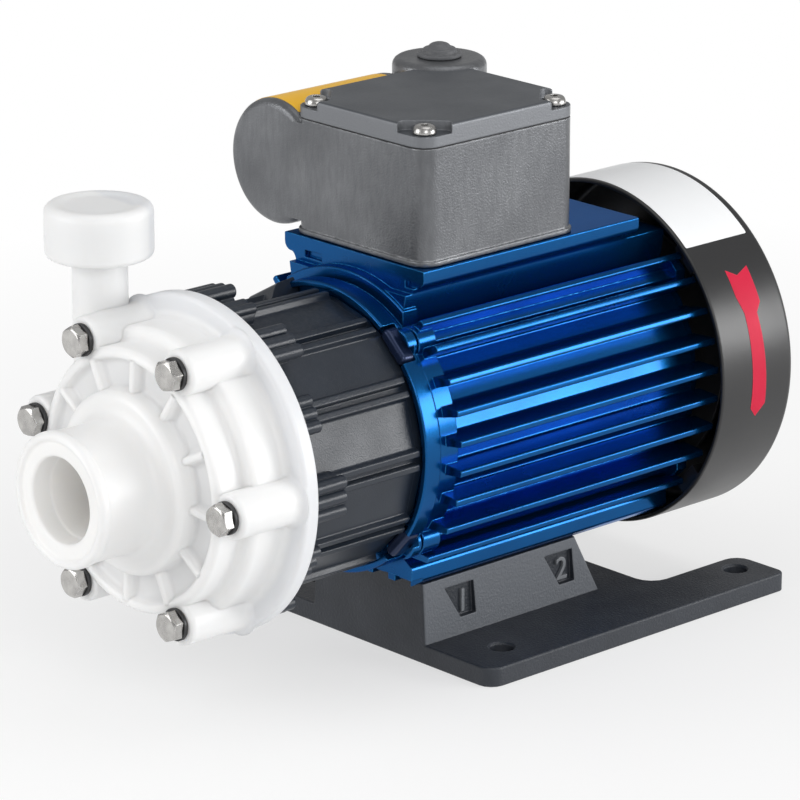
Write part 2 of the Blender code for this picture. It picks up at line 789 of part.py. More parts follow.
def build_bracket(slate):
    front = DISC_REAR_Y + SEAT_GAP
    profile = [
        (BRACKET_BORE_R, front),
        (BRACKET_LIP_R, front),
        (BRACKET_LIP_R, front + BRACKET_LIP_T),
        (BRACKET_R, front + BRACKET_LIP_T + EDGE),
        (BRACKET_R, BRACKET_REAR_Y),
        (BRACKET_BORE_R, BRACKET_REAR_Y),
    ]
    bracket = piece("bracket", swept_ring(profile, ROUND_N, "Y"), slate)

    def ridge():
        low_r = BRACKET_R - 2 * EDGE
        half = BRACKET_RIDGE_W / 2
        gap = BRACKET_GROOVE_W / 2
        mid_r = BRACKET_R - EDGE / 2
        top_r = BRACKET_RIDGE_R
        outline = (
            (low_r, -half - EDGE),
            (top_r, -half),
            (top_r, -gap),
            (mid_r, -gap),
            (mid_r, gap),
            (top_r, gap),
            (top_r, half),
            (low_r, half + EDGE),
        )
        return slab(outline, front + BRACKET_LIP_T / 2, BRACKET_REAR_Y - EDGE, "Y")

    def lug():
        return rod(LUG_R, front, front + LUG_LEN, SMALL_N, "Y", BOLT_CIRCLE_R)

    def half_lug():
        centre_r = BOLT_CIRCLE_R - 2 * EDGE
        return rod(LUG_R - 2 * EDGE, front + EDGE, front + LUG_HALF_STEP, FINE_N, "Y", centre_r)

    def tall_lug():
        return rod(LUG_R, front, front + TALL_LUG_LEN, SMALL_N, "Y", BOLT_CIRCLE_R)

    def tapped_hole():
        return rod(BOLT_HOLE_R, front - EDGE, HEAD_T + BOLT_LEN + FIT_GAP, FINE_N, "Y", BOLT_CIRCLE_R)

    add(bracket, spin_copies(ridge, RIDGE_COUNT, 0, "Y"))
    add(bracket, bolt_copies(lug))
    add(bracket, bolt_copies(half_lug, between_bolts()))
    add(bracket, spin_copies(tall_lug, 1, -TALL_LUG_DEG, "Y"))
    inner = rod(BRACKET_BORE_R, front - EDGE, BRACKET_REAR_Y + EDGE, ROUND_N, "Y")
    cut(bracket, inner)
    cut(bracket, bolt_copies(tapped_hole))
    return bracket


def build_drive(steel, magnet):
    inner = YOKE_R - YOKE_WALL
    web_rear = YOKE_WEB_Y + YOKE_WEB_T
    bore = SHAFT_END_R + SEAT_GAP / 2
    cup = [
        (inner, YOKE_FRONT_Y),
        (YOKE_R, YOKE_FRONT_Y),
        (YOKE_R, web_rear - EDGE),
        (YOKE_R - EDGE, web_rear),
        (YOKE_HUB_R, web_rear),
        (YOKE_HUB_R, web_rear + YOKE_HUB_LEN),
        (bore, web_rear + YOKE_HUB_LEN),
        (bore, YOKE_WEB_Y),
        (inner, YOKE_WEB_Y),
    ]
    piece("drive_yoke", swept_ring(cup, MID_N, "Y"), steel)
    low = YOKE_FRONT_Y + EDGE
    out = inner - SEAT_GAP
    high = low + OUTER_MAGNET_LEN
    ring = [(OUTER_MAGNET_IN_R, low), (out, low), (out, high), (OUTER_MAGNET_IN_R, high)]
    piece("drive_magnet", swept_ring(ring, MID_N, "Y"), magnet)


# Motor


def build_front_shield(blue):
    web_front = BRACKET_REAR_Y + SEAT_GAP
    pocket_y = FRONT_BEARING_Y
    frame_y = FRAME_FRONT_Y - SEAT_GAP
    spigot_y = FRAME_FRONT_Y + SHIELD_SPIGOT_LEN
    spigot_r = FRAME_BORE_R - FIT_GAP
    profile = [
        (LIP_HOLE_R, web_front),
        (SHIELD_SEAT_R, web_front),
        (SHIELD_SEAT_R, SHIELD_FRONT_Y),
        (SHIELD_RING_R, SHIELD_FRONT_Y),
        (SHIELD_RING_R, SHIELD_STEP_Y),
        (SHIELD_STEP_R, SHIELD_STEP_Y),
        (SHIELD_STEP_R, frame_y),
        (spigot_r, frame_y),
        (spigot_r, spigot_y),
        (SHIELD_RIM_R, spigot_y),
        (SHIELD_RIM_R, web_front + SHIELD_WEB_T),
        (HOUSING_R, web_front + SHIELD_WEB_T),
        (HOUSING_R, pocket_y + BEARING_W + SEAT_GAP),
        (BEARING_R + 2 * SEAT_GAP, pocket_y + BEARING_W + SEAT_GAP),
        (BEARING_R + 2 * SEAT_GAP, pocket_y),
        (LIP_HOLE_R, pocket_y),
    ]
    shield = piece("front_shield", swept_ring(profile, ROUND_N, "Y"), blue)

    def lug():
        return rod(TIE_LUG_R, web_front + EDGE, frame_y, SMALL_N, "Y", TIE_CIRCLE_R)

    def pocket():
        return rod(TIE_POCKET_R, SHIELD_FRONT_Y - EDGE, TIE_SEAT_Y, SMALL_N, "Y", TIE_CIRCLE_R + 2 * EDGE)

    def hole():
        return rod(TIE_HOLE_R, web_front, spigot_y, FINE_N, "Y", TIE_CIRCLE_R)

    add(shield, spin_copies(lug, TIE_COUNT, -TIE_START_DEG, "Y"))
    cut(shield, spin_copies(pocket, TIE_COUNT, -TIE_START_DEG, "Y"))
    cut(shield, spin_copies(hole, TIE_COUNT, -TIE_START_DEG, "Y"))
    return shield


def frame_outline():
    """The right half of the finned section from the foot up to the deck."""
    half = []
    half.append((FOOT_HALF, -FOOT_H))
    half.append((FOOT_SIDE_HALF, -FOOT_CORNER_H))
    half.append((FOOT_SIDE_HALF, -FOOT_TOP_H))
    for i in range(-FIN_SIDE_COUNT, FIN_SIDE_COUNT + 1):
        turn = math.radians(i * FIN_STEP_DEG)
        out = Vector((math.cos(turn), math.sin(turn)))
        side = Vector((-math.sin(turn), math.cos(turn)))
        foot_r = math.sqrt(FRAME_R**2 - (FIN_ROOT_T / 2) ** 2)
        for r, t in ((foot_r, -FIN_ROOT_T), (FIN_R, -FIN_T), (FIN_R, FIN_T), (foot_r, FIN_ROOT_T)):
            spot = out * r + side * t / 2
            half.append((spot.x, spot.y))
    web_z = math.sqrt(FRAME_R**2 - (DECK_WEB_HALF - 2 * EDGE) ** 2)
    half.append((DECK_WEB_HALF - 2 * EDGE, web_z))
    half.append((DECK_WEB_HALF, DECK_TOP_H - DECK_T - 2 * EDGE))
    half.append((DECK_WEB_HALF + 2 * EDGE, DECK_TOP_H - DECK_T))
    half.append((DECK_HALF, DECK_TOP_H - DECK_T))
    half.append((DECK_HALF, DECK_TOP_H - EDGE / 2))
    half.append((DECK_HALF - EDGE / 2, DECK_TOP_H))
    return half + [(-x, z) for x, z in reversed(half)]


def build_frame(blue):
    frame = piece("motor_frame", slab(frame_outline(), FRAME_FRONT_Y, FRAME_REAR_Y, "Y"), blue)

    def boss():
        return rod(TIE_LUG_R - EDGE / 2, FRAME_FRONT_Y, FRAME_REAR_Y, FINE_N, "Y", TIE_CIRCLE_R)

    def hole():
        return rod(TIE_HOLE_R, FRAME_FRONT_Y - EDGE, FRAME_REAR_Y + EDGE, FINE_N, "Y", TIE_CIRCLE_R)

    add(frame, spin_copies(boss, TIE_COUNT, -TIE_START_DEG, "Y"))
    cut(frame, rod(FRAME_BORE_R, FRAME_FRONT_Y - EDGE, FRAME_REAR_Y + EDGE, ROUND_N, "Y"))
    recess = [
        (RECESS_R, FRAME_FRONT_Y - EDGE),
        (RECESS_R, FRAME_FRONT_Y + RECESS_T),
        (SHIELD_STEP_R + EDGE, FRAME_FRONT_Y + RECESS_T),
        (SHIELD_STEP_R + EDGE, FRAME_FRONT_Y - EDGE),
    ]
    cut(frame, swept_ring(recess, ROUND_N, "Y"))
    cut(frame, spin_copies(hole, TIE_COUNT, -TIE_START_DEG, "Y"))
    wide = DECK_HALF + EDGE
    low_z = DECK_TOP_H - DECK_T - 3 * EDGE
    cut(frame, box(-wide, wide, DECK_REAR_Y, FRAME_REAR_Y + EDGE, low_z, DECK_TOP_H + EDGE))
    holes = [rod(WIRE_HOLE_R, FRAME_BORE_R - 2 * EDGE, DECK_TOP_H + EDGE, SMALL_N, "Z", 0, WIRE_HOLE_Y)]
    for x in (-FOOT_SCREW_X, FOOT_SCREW_X):
        for y in (FOOT_SCREW_FRONT_Y, FOOT_SCREW_REAR_Y):
            low = -FOOT_H - EDGE
            holes.append(rod(FOOT_SCREW_HOLE_R, low, -FOOT_H + FOOT_SCREW_BITE, FINE_N, "Z", x, y))
    cut(frame, joined(holes))
    return frame


def build_rear_shield(blue):
    front = FRAME_REAR_Y + SEAT_GAP
    spigot_y = FRAME_REAR_Y - SHIELD_SPIGOT_LEN
    spigot_r = FRAME_BORE_R - FIT_GAP
    rear = front + REAR_HOUSING_LEN
    pocket = rear_bearing_y() + BEARING_W + SEAT_GAP
    profile = [
        (LIP_HOLE_R, pocket),
        (BEARING_R + 2 * SEAT_GAP, pocket),
        (BEARING_R + 2 * SEAT_GAP, front),
        (HOUSING_R, front),
        (SHIELD_RIM_R, front),
        (SHIELD_RIM_R, spigot_y),
        (spigot_r, spigot_y),
        (spigot_r, front),
        (REAR_SHIELD_R, front),
        (REAR_SHIELD_R, front + REAR_WEB_T),
        (HOUSING_R, front + REAR_WEB_T),
        (HOUSING_R - EDGE, rear),
        (LIP_HOLE_R, rear),
    ]
    shield = piece("rear_shield", swept_ring(profile, MID_N, "Y"), blue)

    def lug():
        return rod(TIE_LUG_R, front, front + REAR_WEB_T + EDGE, FINE_N, "Y", TIE_CIRCLE_R)

    def hole():
        return rod(TIE_HOLE_R, front - EDGE, front + REAR_WEB_T + 2 * EDGE, FINE_N, "Y", TIE_CIRCLE_R)

    add(shield, spin_copies(lug, TIE_COUNT, -TIE_START_DEG, "Y"))
    cut(shield, spin_copies(hole, TIE_COUNT, -TIE_START_DEG, "Y"))
    return shield


def rear_bearing_y():
    return FRAME_REAR_Y + SEAT_GAP + EDGE / 2


def build_tie_bolts(steel):
    front = TIE_SEAT_Y
    for i in range(TIE_COUNT):
        turn = math.radians(TIE_START_DEG + 360 * i / TIE_COUNT)
        spot = (TIE_CIRCLE_R * math.cos(turn), front, AXIS_H + TIE_CIRCLE_R * math.sin(turn))
        low = -SEAT_GAP - TIE_HEAD_T
        head = [
            (0, low),
            (TIE_HEAD_R - EDGE, low),
            (TIE_HEAD_R, low + EDGE),
            (TIE_HEAD_R, -SEAT_GAP),
            (TIE_R, -SEAT_GAP),
            (TIE_R, FRAME_REAR_Y + REAR_WEB_T - front),
            (0, FRAME_REAR_Y + REAR_WEB_T - front),
        ]
        piece(f"tie_bolt_{i + 1}", swept_ring(head, FINE_N, "Y"), steel, spot)


def build_bearings(steel, brass):
    for name, low in (("front", FRONT_BEARING_Y + SEAT_GAP / 2), ("rear", rear_bearing_y())):
        high = low + BEARING_W
        outer_in = BEARING_R - RACE_T
        inner_out = BEARING_BORE_R + RACE_T
        outer = [(outer_in, low), (BEARING_R, low), (BEARING_R, high), (outer_in, high)]
        inner = [(BEARING_BORE_R, low), (inner_out, low), (inner_out, high), (BEARING_BORE_R, high)]
        piece(f"{name}_bearing_outer_race", swept_ring(outer, INNER_N, "Y"), steel)
        piece(f"{name}_bearing_inner_race", swept_ring(inner, INNER_N, "Y"), steel)
        mid_r = (outer_in + inner_out) / 2
        mid_y = (low + high) / 2
        band = [
            (mid_r - CAGE_T / 2, mid_y - CAGE_W / 2),
            (mid_r + CAGE_T / 2, mid_y - CAGE_W / 2),
            (mid_r + CAGE_T / 2, mid_y + CAGE_W / 2),
            (mid_r - CAGE_T / 2, mid_y + CAGE_W / 2),
        ]
        cage = piece(f"{name}_bearing_balls", swept_ring(band, SMALL_N, "Y"), brass)

        def ball():
            bm = bmesh.new()
            bmesh.ops.create_uvsphere(bm, u_segments=BALL_N, v_segments=BALL_ROWS, radius=BALL_R)
            return shifted(bm, mid_r, mid_y, 0)

        add(cage, spin_copies(ball, BALL_COUNT, 0, "Y"))


def build_shaft_and_rotor(steel, core, aluminium):
    rear_y = rear_bearing_y()
    front_rear = FRONT_BEARING_Y + BEARING_W + SEAT_GAP
    fan_end = FAN_FRONT_Y + FAN_BLADE_LEN + EDGE
    bar = [
        (0, SHAFT_FRONT_Y),
        (SHAFT_END_R - EDGE / 2, SHAFT_FRONT_Y),
        (SHAFT_END_R, SHAFT_FRONT_Y + EDGE / 2),
        (SHAFT_END_R, FRONT_BEARING_Y - 2 * EDGE),
        (SHAFT_R, FRONT_BEARING_Y - 2 * EDGE),
        (SHAFT_R, front_rear),
        (SHAFT_CORE_R, front_rear),
        (SHAFT_CORE_R, rear_y - SEAT_GAP),
        (SHAFT_R, rear_y - SEAT_GAP),
        (SHAFT_R, FAN_FRONT_Y - SEAT_GAP),
        (FAN_SHAFT_R, FAN_FRONT_Y - SEAT_GAP),
        (FAN_SHAFT_R, fan_end),
        (0, fan_end),
    ]
    piece("motor_shaft", swept_ring(bar, INNER_N, "Y"), steel)
    bore = SHAFT_CORE_R + SEAT_GAP
    front = CORE_FRONT_Y - ROTOR_RING_T
    rear = CORE_REAR_Y + ROTOR_RING_T
    cage = [
        (bore, CORE_FRONT_Y),
        (ROTOR_RING_IN_R, CORE_FRONT_Y),
        (ROTOR_RING_IN_R, front),
        (ROTOR_R - EDGE, front),
        (ROTOR_R - EDGE, CORE_FRONT_Y),
        (ROTOR_R, CORE_FRONT_Y),
        (ROTOR_R, CORE_REAR_Y),
        (ROTOR_R - EDGE, CORE_REAR_Y),
        (ROTOR_R - EDGE, rear),
        (ROTOR_RING_IN_R, rear),
        (ROTOR_RING_IN_R, CORE_REAR_Y),
        (bore, CORE_REAR_Y),
    ]
    piece("rotor_core", swept_ring(cage, MID_N, "Y"), aluminium)


def build_stator(core, copper):
    out = FRAME_BORE_R - 2 * SEAT_GAP
    ring = [(CORE_BORE_R, CORE_FRONT_Y), (out, CORE_FRONT_Y), (out, CORE_REAR_Y), (CORE_BORE_R, CORE_REAR_Y)]
    stator = piece("stator_core", swept_ring(ring, MID_N, "Y"), core)

    def slot():
        low = CORE_FRONT_Y - EDGE
        outline = (
            (SLOT_IN_R, -SLOT_W / 2),
            (SLOT_OUT_R, -SLOT_W / 2 - EDGE),
            (SLOT_OUT_R, SLOT_W / 2 + EDGE),
            (SLOT_IN_R, SLOT_W / 2),
        )
        return slab(outline, low, CORE_REAR_Y + EDGE, "Y")

    cut(stator, spin_copies(slot, SLOT_COUNT, 0, "Y"))
    front = CORE_FRONT_Y - FIT_GAP
    rear = CORE_REAR_Y + FIT_GAP
    high_r = SLOT_OUT_R - FIT_GAP
    low_r = SLOT_IN_R + FIT_GAP

    def coil_end(face, way):
        far = face + way * COIL_OVERHANG
        near = face + way * COIL_OVERHANG * COIL_TAPER_SHARE
        loop = [
            (low_r, face),
            (high_r, face),
            (high_r + EDGE, near),
            (high_r - 2 * EDGE, far),
            (low_r + 2 * EDGE, far),
            (low_r, near),
        ]
        return swept_ring(loop, MID_N, "Y")

    winding = piece("stator_winding", coil_end(front, -1), copper)

    def bar():
        half = SLOT_W / 2 - FIT_GAP
        outline = (
            (low_r + EDGE, -half),
            (high_r - EDGE, -half),
            (high_r - EDGE, half),
            (low_r + EDGE, half),
        )
        return slab(outline, front - EDGE, rear + EDGE, "Y")

    add(winding, spin_copies(bar, SLOT_COUNT, 0, "Y"))
    add(winding, coil_end(rear, 1))


def build_fan(plastic):
    bore = FAN_SHAFT_R + SEAT_GAP / 2
    plate_rear = FAN_FRONT_Y + FAN_PLATE_T
    hub_rear = FAN_FRONT_Y + FAN_BLADE_LEN
    hub = [
        (bore, FAN_FRONT_Y),
        (FAN_R, FAN_FRONT_Y),
        (FAN_R, plate_rear),
        (FAN_HUB_R, plate_rear),
        (FAN_HUB_R - EDGE, hub_rear),
        (bore, hub_rear),
    ]
    fan = piece("cooling_fan", swept_ring(hub, MID_N, "Y"), plastic)

    def blade():
        outline = (
            (FAN_HUB_R - 2 * EDGE, FAN_FRONT_Y + FAN_PLATE_T / 2),
            (FAN_R - EDGE, FAN_FRONT_Y + FAN_PLATE_T / 2),
            (FAN_R - 4 * EDGE, hub_rear - EDGE),
            (FAN_HUB_R - 2 * EDGE, hub_rear - EDGE),
        )
        return slab(outline, -FAN_BLADE_T / 2, FAN_BLADE_T / 2, "Z")

    add(fan, spin_copies(blade, FAN_BLADES, 0, "Y"))


def build_fan_cover(black):
    inner = COVER_R - COVER_T
    profile = [
        (inner, COVER_FRONT_Y),
        (COVER_R - EDGE / 2, COVER_FRONT_Y),
        (COVER_R, COVER_FRONT_Y + EDGE / 2),
        (COVER_R, COVER_REAR_Y - COVER_BEVEL),
        (COVER_R - COVER_BEVEL / 3, COVER_REAR_Y - COVER_BEVEL / 3),
        (COVER_R - COVER_BEVEL, COVER_REAR_Y),
        (0, COVER_REAR_Y),
        (0, COVER_REAR_Y - COVER_T),
        (inner - COVER_BEVEL, COVER_REAR_Y - COVER_T),
        (inner, COVER_REAR_Y - COVER_T - COVER_BEVEL),
    ]
    cover = piece("fan_cover", swept_ring(profile, OUTER_N, "Y"), black)

    def pad():
        low = TIE_CIRCLE_R + TIE_LUG_R + EDGE
        outline = ((low, -COVER_PAD_W / 2), (COVER_R - COVER_T / 2, -COVER_PAD_W / 2))
        outline += ((COVER_R - COVER_T / 2, COVER_PAD_W / 2), (low, COVER_PAD_W / 2))
        low_y = FRAME_REAR_Y + SEAT_GAP
        return slab(outline, low_y, low_y + COVER_PAD_LEN, "Y")

    def slot(low, high):
        half = GRILLE_SLOT_W / 2
        outline = ((low, -half), (high, -half), (high, half), (low, half))
        return slab(outline, COVER_REAR_Y - COVER_T - EDGE, COVER_REAR_Y + EDGE, "Y")

    add(cover, spin_copies(pad, TIE_COUNT, -TIE_START_DEG, "Y"))
    cut(cover, spin_copies(lambda: slot(GRILLE_IN_R, GRILLE_MID_R - GRILLE_BAR / 2), GRILLE_COUNT, 0, "Y"))
    cut(cover, spin_copies(lambda: slot(GRILLE_MID_R + GRILLE_BAR / 2, GRILLE_OUT_R), GRILLE_COUNT, 0, "Y"))


# Base


def build_base(dark):
    outline = rounded(BASE_HALF, BASE_FRONT_Y, BASE_REAR_Y, BASE_CORNER_R)
    base = piece("base", slab(outline, 0, BASE_T, "Z"), dark, (0, 0, 0))
    cut_out = rounded(LEG_IN_X, CUT_FRONT_Y, BASE_REAR_Y + 3 * CUT_CORNER_R, CUT_CORNER_R)
    cut(base, slab(cut_out, -EDGE, BASE_T + EDGE, "Z"))
    low = BASE_T - EDGE
    rise = bmesh.new()
    rows = []
    for z, half, rear in (
        (low, PEDESTAL_HALF, PEDESTAL_REAR_Y),
        (PEDESTAL_TOP_Z, PEDESTAL_TOP_HALF, PEDESTAL_TOP_REAR_Y),
    ):
        corners = ((-half, BASE_FRONT_Y), (half, BASE_FRONT_Y), (half, rear), (-half, rear))
        rows.append([rise.verts.new((x, y, z)) for x, y in corners])
    rise.faces.new(rows[0])
    rise.faces.new(rows[1])
    for i in range(4):
        k = (i + 1) % 4
        rise.faces.new((rows[0][i], rows[0][k], rows[1][k], rows[1][i]))
    add(base, outward(rise))
    holes = []
    for x in (-BASE_HOLE_X, BASE_HOLE_X):
        for y in (BASE_HOLE_FRONT_Y, BASE_HOLE_REAR_Y):
            holes.append(rod(BASE_HOLE_R, -EDGE, BASE_T + EDGE, SMALL_N, "Z", x, y))
    cut(base, joined(holes))
    hollow_top = PEDESTAL_TOP_Z - CEILING_T
    hollow_half = PEDESTAL_TOP_HALF - BASE_SKIRT_T
    hollow = box(
        -hollow_half,
        hollow_half,
        BASE_FRONT_Y + BASE_SKIRT_T,
        PEDESTAL_TOP_REAR_Y - BASE_SKIRT_T,
        -EDGE,
        hollow_top,
    )
    cut(base, hollow)
    screws = []
    for x in (-FOOT_SCREW_X, FOOT_SCREW_X):
        for y in (FOOT_SCREW_FRONT_Y, FOOT_SCREW_REAR_Y):
            low = hollow_top - EDGE
            screws.append(rod(FOOT_SCREW_HOLE_R, low, PEDESTAL_TOP_Z + EDGE, FINE_N, "Z", x, y))
    cut(base, joined(screws))
    pockets = []
    for i in range(2):
        y = POCKET_FRONT_Y + i * POCKET_PITCH
        outline = (
            (y, POCKET_TOP_Z),
            (y + POCKET_W, POCKET_TOP_Z),
            (y + POCKET_W + EDGE, POCKET_LOW_Z),
            (y + POCKET_SLANT, POCKET_LOW_Z),
        )
        for side in (-1, 1):
            deep = side * (PEDESTAL_TOP_HALF - POCKET_DEPTH)
            shallow = side * (PEDESTAL_HALF + EDGE)
            pockets.append(slab(outline, min(deep, shallow), max(deep, shallow), "X"))
    cut(base, joined(pockets))
    return base


def build_foot_screws(steel):
    seat = PEDESTAL_TOP_Z - CEILING_T - SEAT_GAP
    number = 0
    for x in (-FOOT_SCREW_X, FOOT_SCREW_X):
        for y in (FOOT_SCREW_FRONT_Y, FOOT_SCREW_REAR_Y):
            number += 1
            tip = CEILING_T + SEAT_GAP + FIT_GAP + FOOT_SCREW_BITE - EDGE
            body = [
                (0, -FOOT_SCREW_HEAD_T),
                (FOOT_SCREW_HEAD_R - EDGE, -FOOT_SCREW_HEAD_T),
                (FOOT_SCREW_HEAD_R, EDGE - FOOT_SCREW_HEAD_T),
                (FOOT_SCREW_HEAD_R, 0),
                (FOOT_SCREW_R, 0),
                (FOOT_SCREW_R, tip),
                (0, tip),
            ]
            piece(f"foot_screw_{number}", swept_ring(body, FINE_N, "Z"), steel, (x, y, seat))


# Terminal box


def lid_corners():
    reach = BOX_HALF - LID_SCREW_INSET
    front = BOX_FRONT_Y + LID_SCREW_INSET
    rear = BOX_REAR_Y - LID_SCREW_INSET
    return ((reach, front), (-reach, front), (reach, rear))


def build_terminal_box(grey):
    outline = rounded(BOX_HALF, BOX_FRONT_Y, BOX_REAR_Y, BOX_CORNER_R)
    shell = piece("terminal_box", slab(outline, BOX_LOW_Z, BOX_TOP_Z, "Z"), grey, (0, 0, 0))
    flange = rounded(
        BOX_HALF + BOX_FLANGE, BOX_FRONT_Y - BOX_FLANGE, BOX_REAR_Y + BOX_FLANGE, BOX_CORNER_R
    )
    add(shell, slab(flange, BOX_LOW_Z, BOX_LOW_Z + BOX_FLANGE_H, "Z"))
    drum = [
        (0, BOX_FRONT_Y + SEAT_GAP),
        (DRUM_SHELL_R - DRUM_EDGE, BOX_FRONT_Y + SEAT_GAP),
        (DRUM_SHELL_R - DRUM_EDGE / 3, BOX_FRONT_Y + SEAT_GAP + DRUM_EDGE / 3),
        (DRUM_SHELL_R, BOX_FRONT_Y + SEAT_GAP + DRUM_EDGE),
        (DRUM_SHELL_R, DRUM_REAR_Y - DRUM_EDGE),
        (DRUM_SHELL_R - DRUM_EDGE, DRUM_REAR_Y),
        (0, DRUM_REAR_Y),
    ]
    add(shell, shifted(swept_ring(drum, ROUND_N, "Y"), DRUM_X, 0, DRUM_Z))
    tower = [
        (0, TOWER_LOW_Z),
        (TOWER_R - TOWER_EDGE, TOWER_LOW_Z),
        (TOWER_R, TOWER_LOW_Z + TOWER_EDGE),
        (TOWER_R, TOWER_TOP_Z - TOWER_EDGE),
        (TOWER_R - TOWER_EDGE / 3, TOWER_TOP_Z - TOWER_EDGE / 3),
        (TOWER_R - TOWER_EDGE, TOWER_TOP_Z),
        (0, TOWER_TOP_Z),
    ]
    add(shell, shifted(swept_ring(tower, MID_N, "Z"), TOWER_X, TOWER_Y, 0))
    in_half = BOX_HALF - BOX_WALL
    floor_z = BOX_LOW_Z + BOX_WALL
    room = rounded(in_half, BOX_FRONT_Y + BOX_WALL, BOX_REAR_Y - BOX_WALL, BOX_CORNER_R - BOX_WALL)
    cut(shell, slab(room, floor_z, BOX_TOP_Z + EDGE, "Z"))
    inner = rod(
        DRUM_SHELL_R - DRUM_WALL, BOX_FRONT_Y + DRUM_WALL + EDGE, DRUM_REAR_Y - DRUM_WALL, ROUND_N, "Y"
    )
    shifted(inner, DRUM_X, 0, DRUM_Z)
    cut(shell, inner)
    bore_low = TOWER_LOW_Z + 2 * TOWER_EDGE
    cut(shell, rod(TOWER_BORE_R, bore_low, TOWER_TOP_Z + EDGE, SMALL_N, "Z", TOWER_X, TOWER_Y))
    # A round pocket lets the cable pass from the room into the tower.
    aside = TOWER_R * WAY_SHARE
    way_low = bore_low + EDGE
    way_high = TOWER_TOP_Z - 4 * TOWER_EDGE
    way_r = TOWER_BORE_R * WAY_WIDE_SHARE
    cut(shell, rod(way_r, way_low, way_high, FINE_N, "Z", TOWER_X + aside, TOWER_Y - aside))
    posts = []
    for x, y in lid_corners():
        posts.append(rod(SCREW_POST_R, floor_z - EDGE, BOX_TOP_Z - SEAT_GAP, FINE_N, "Z", x, y))
    for post in posts:
        add(shell, post)
    holes = []
    for x, y in lid_corners():
        low = BOX_TOP_Z - LID_SCREW_LEN
        holes.append(rod(LID_SCREW_R + SEAT_GAP, low, BOX_TOP_Z + EDGE, FINE_N, "Z", x, y))
    holes.append(rod(WIRE_HOLE_R, BOX_LOW_Z - EDGE, floor_z + EDGE, SMALL_N, "Z", 0, WIRE_HOLE_Y))
    cut(shell, joined(holes))
    return shell


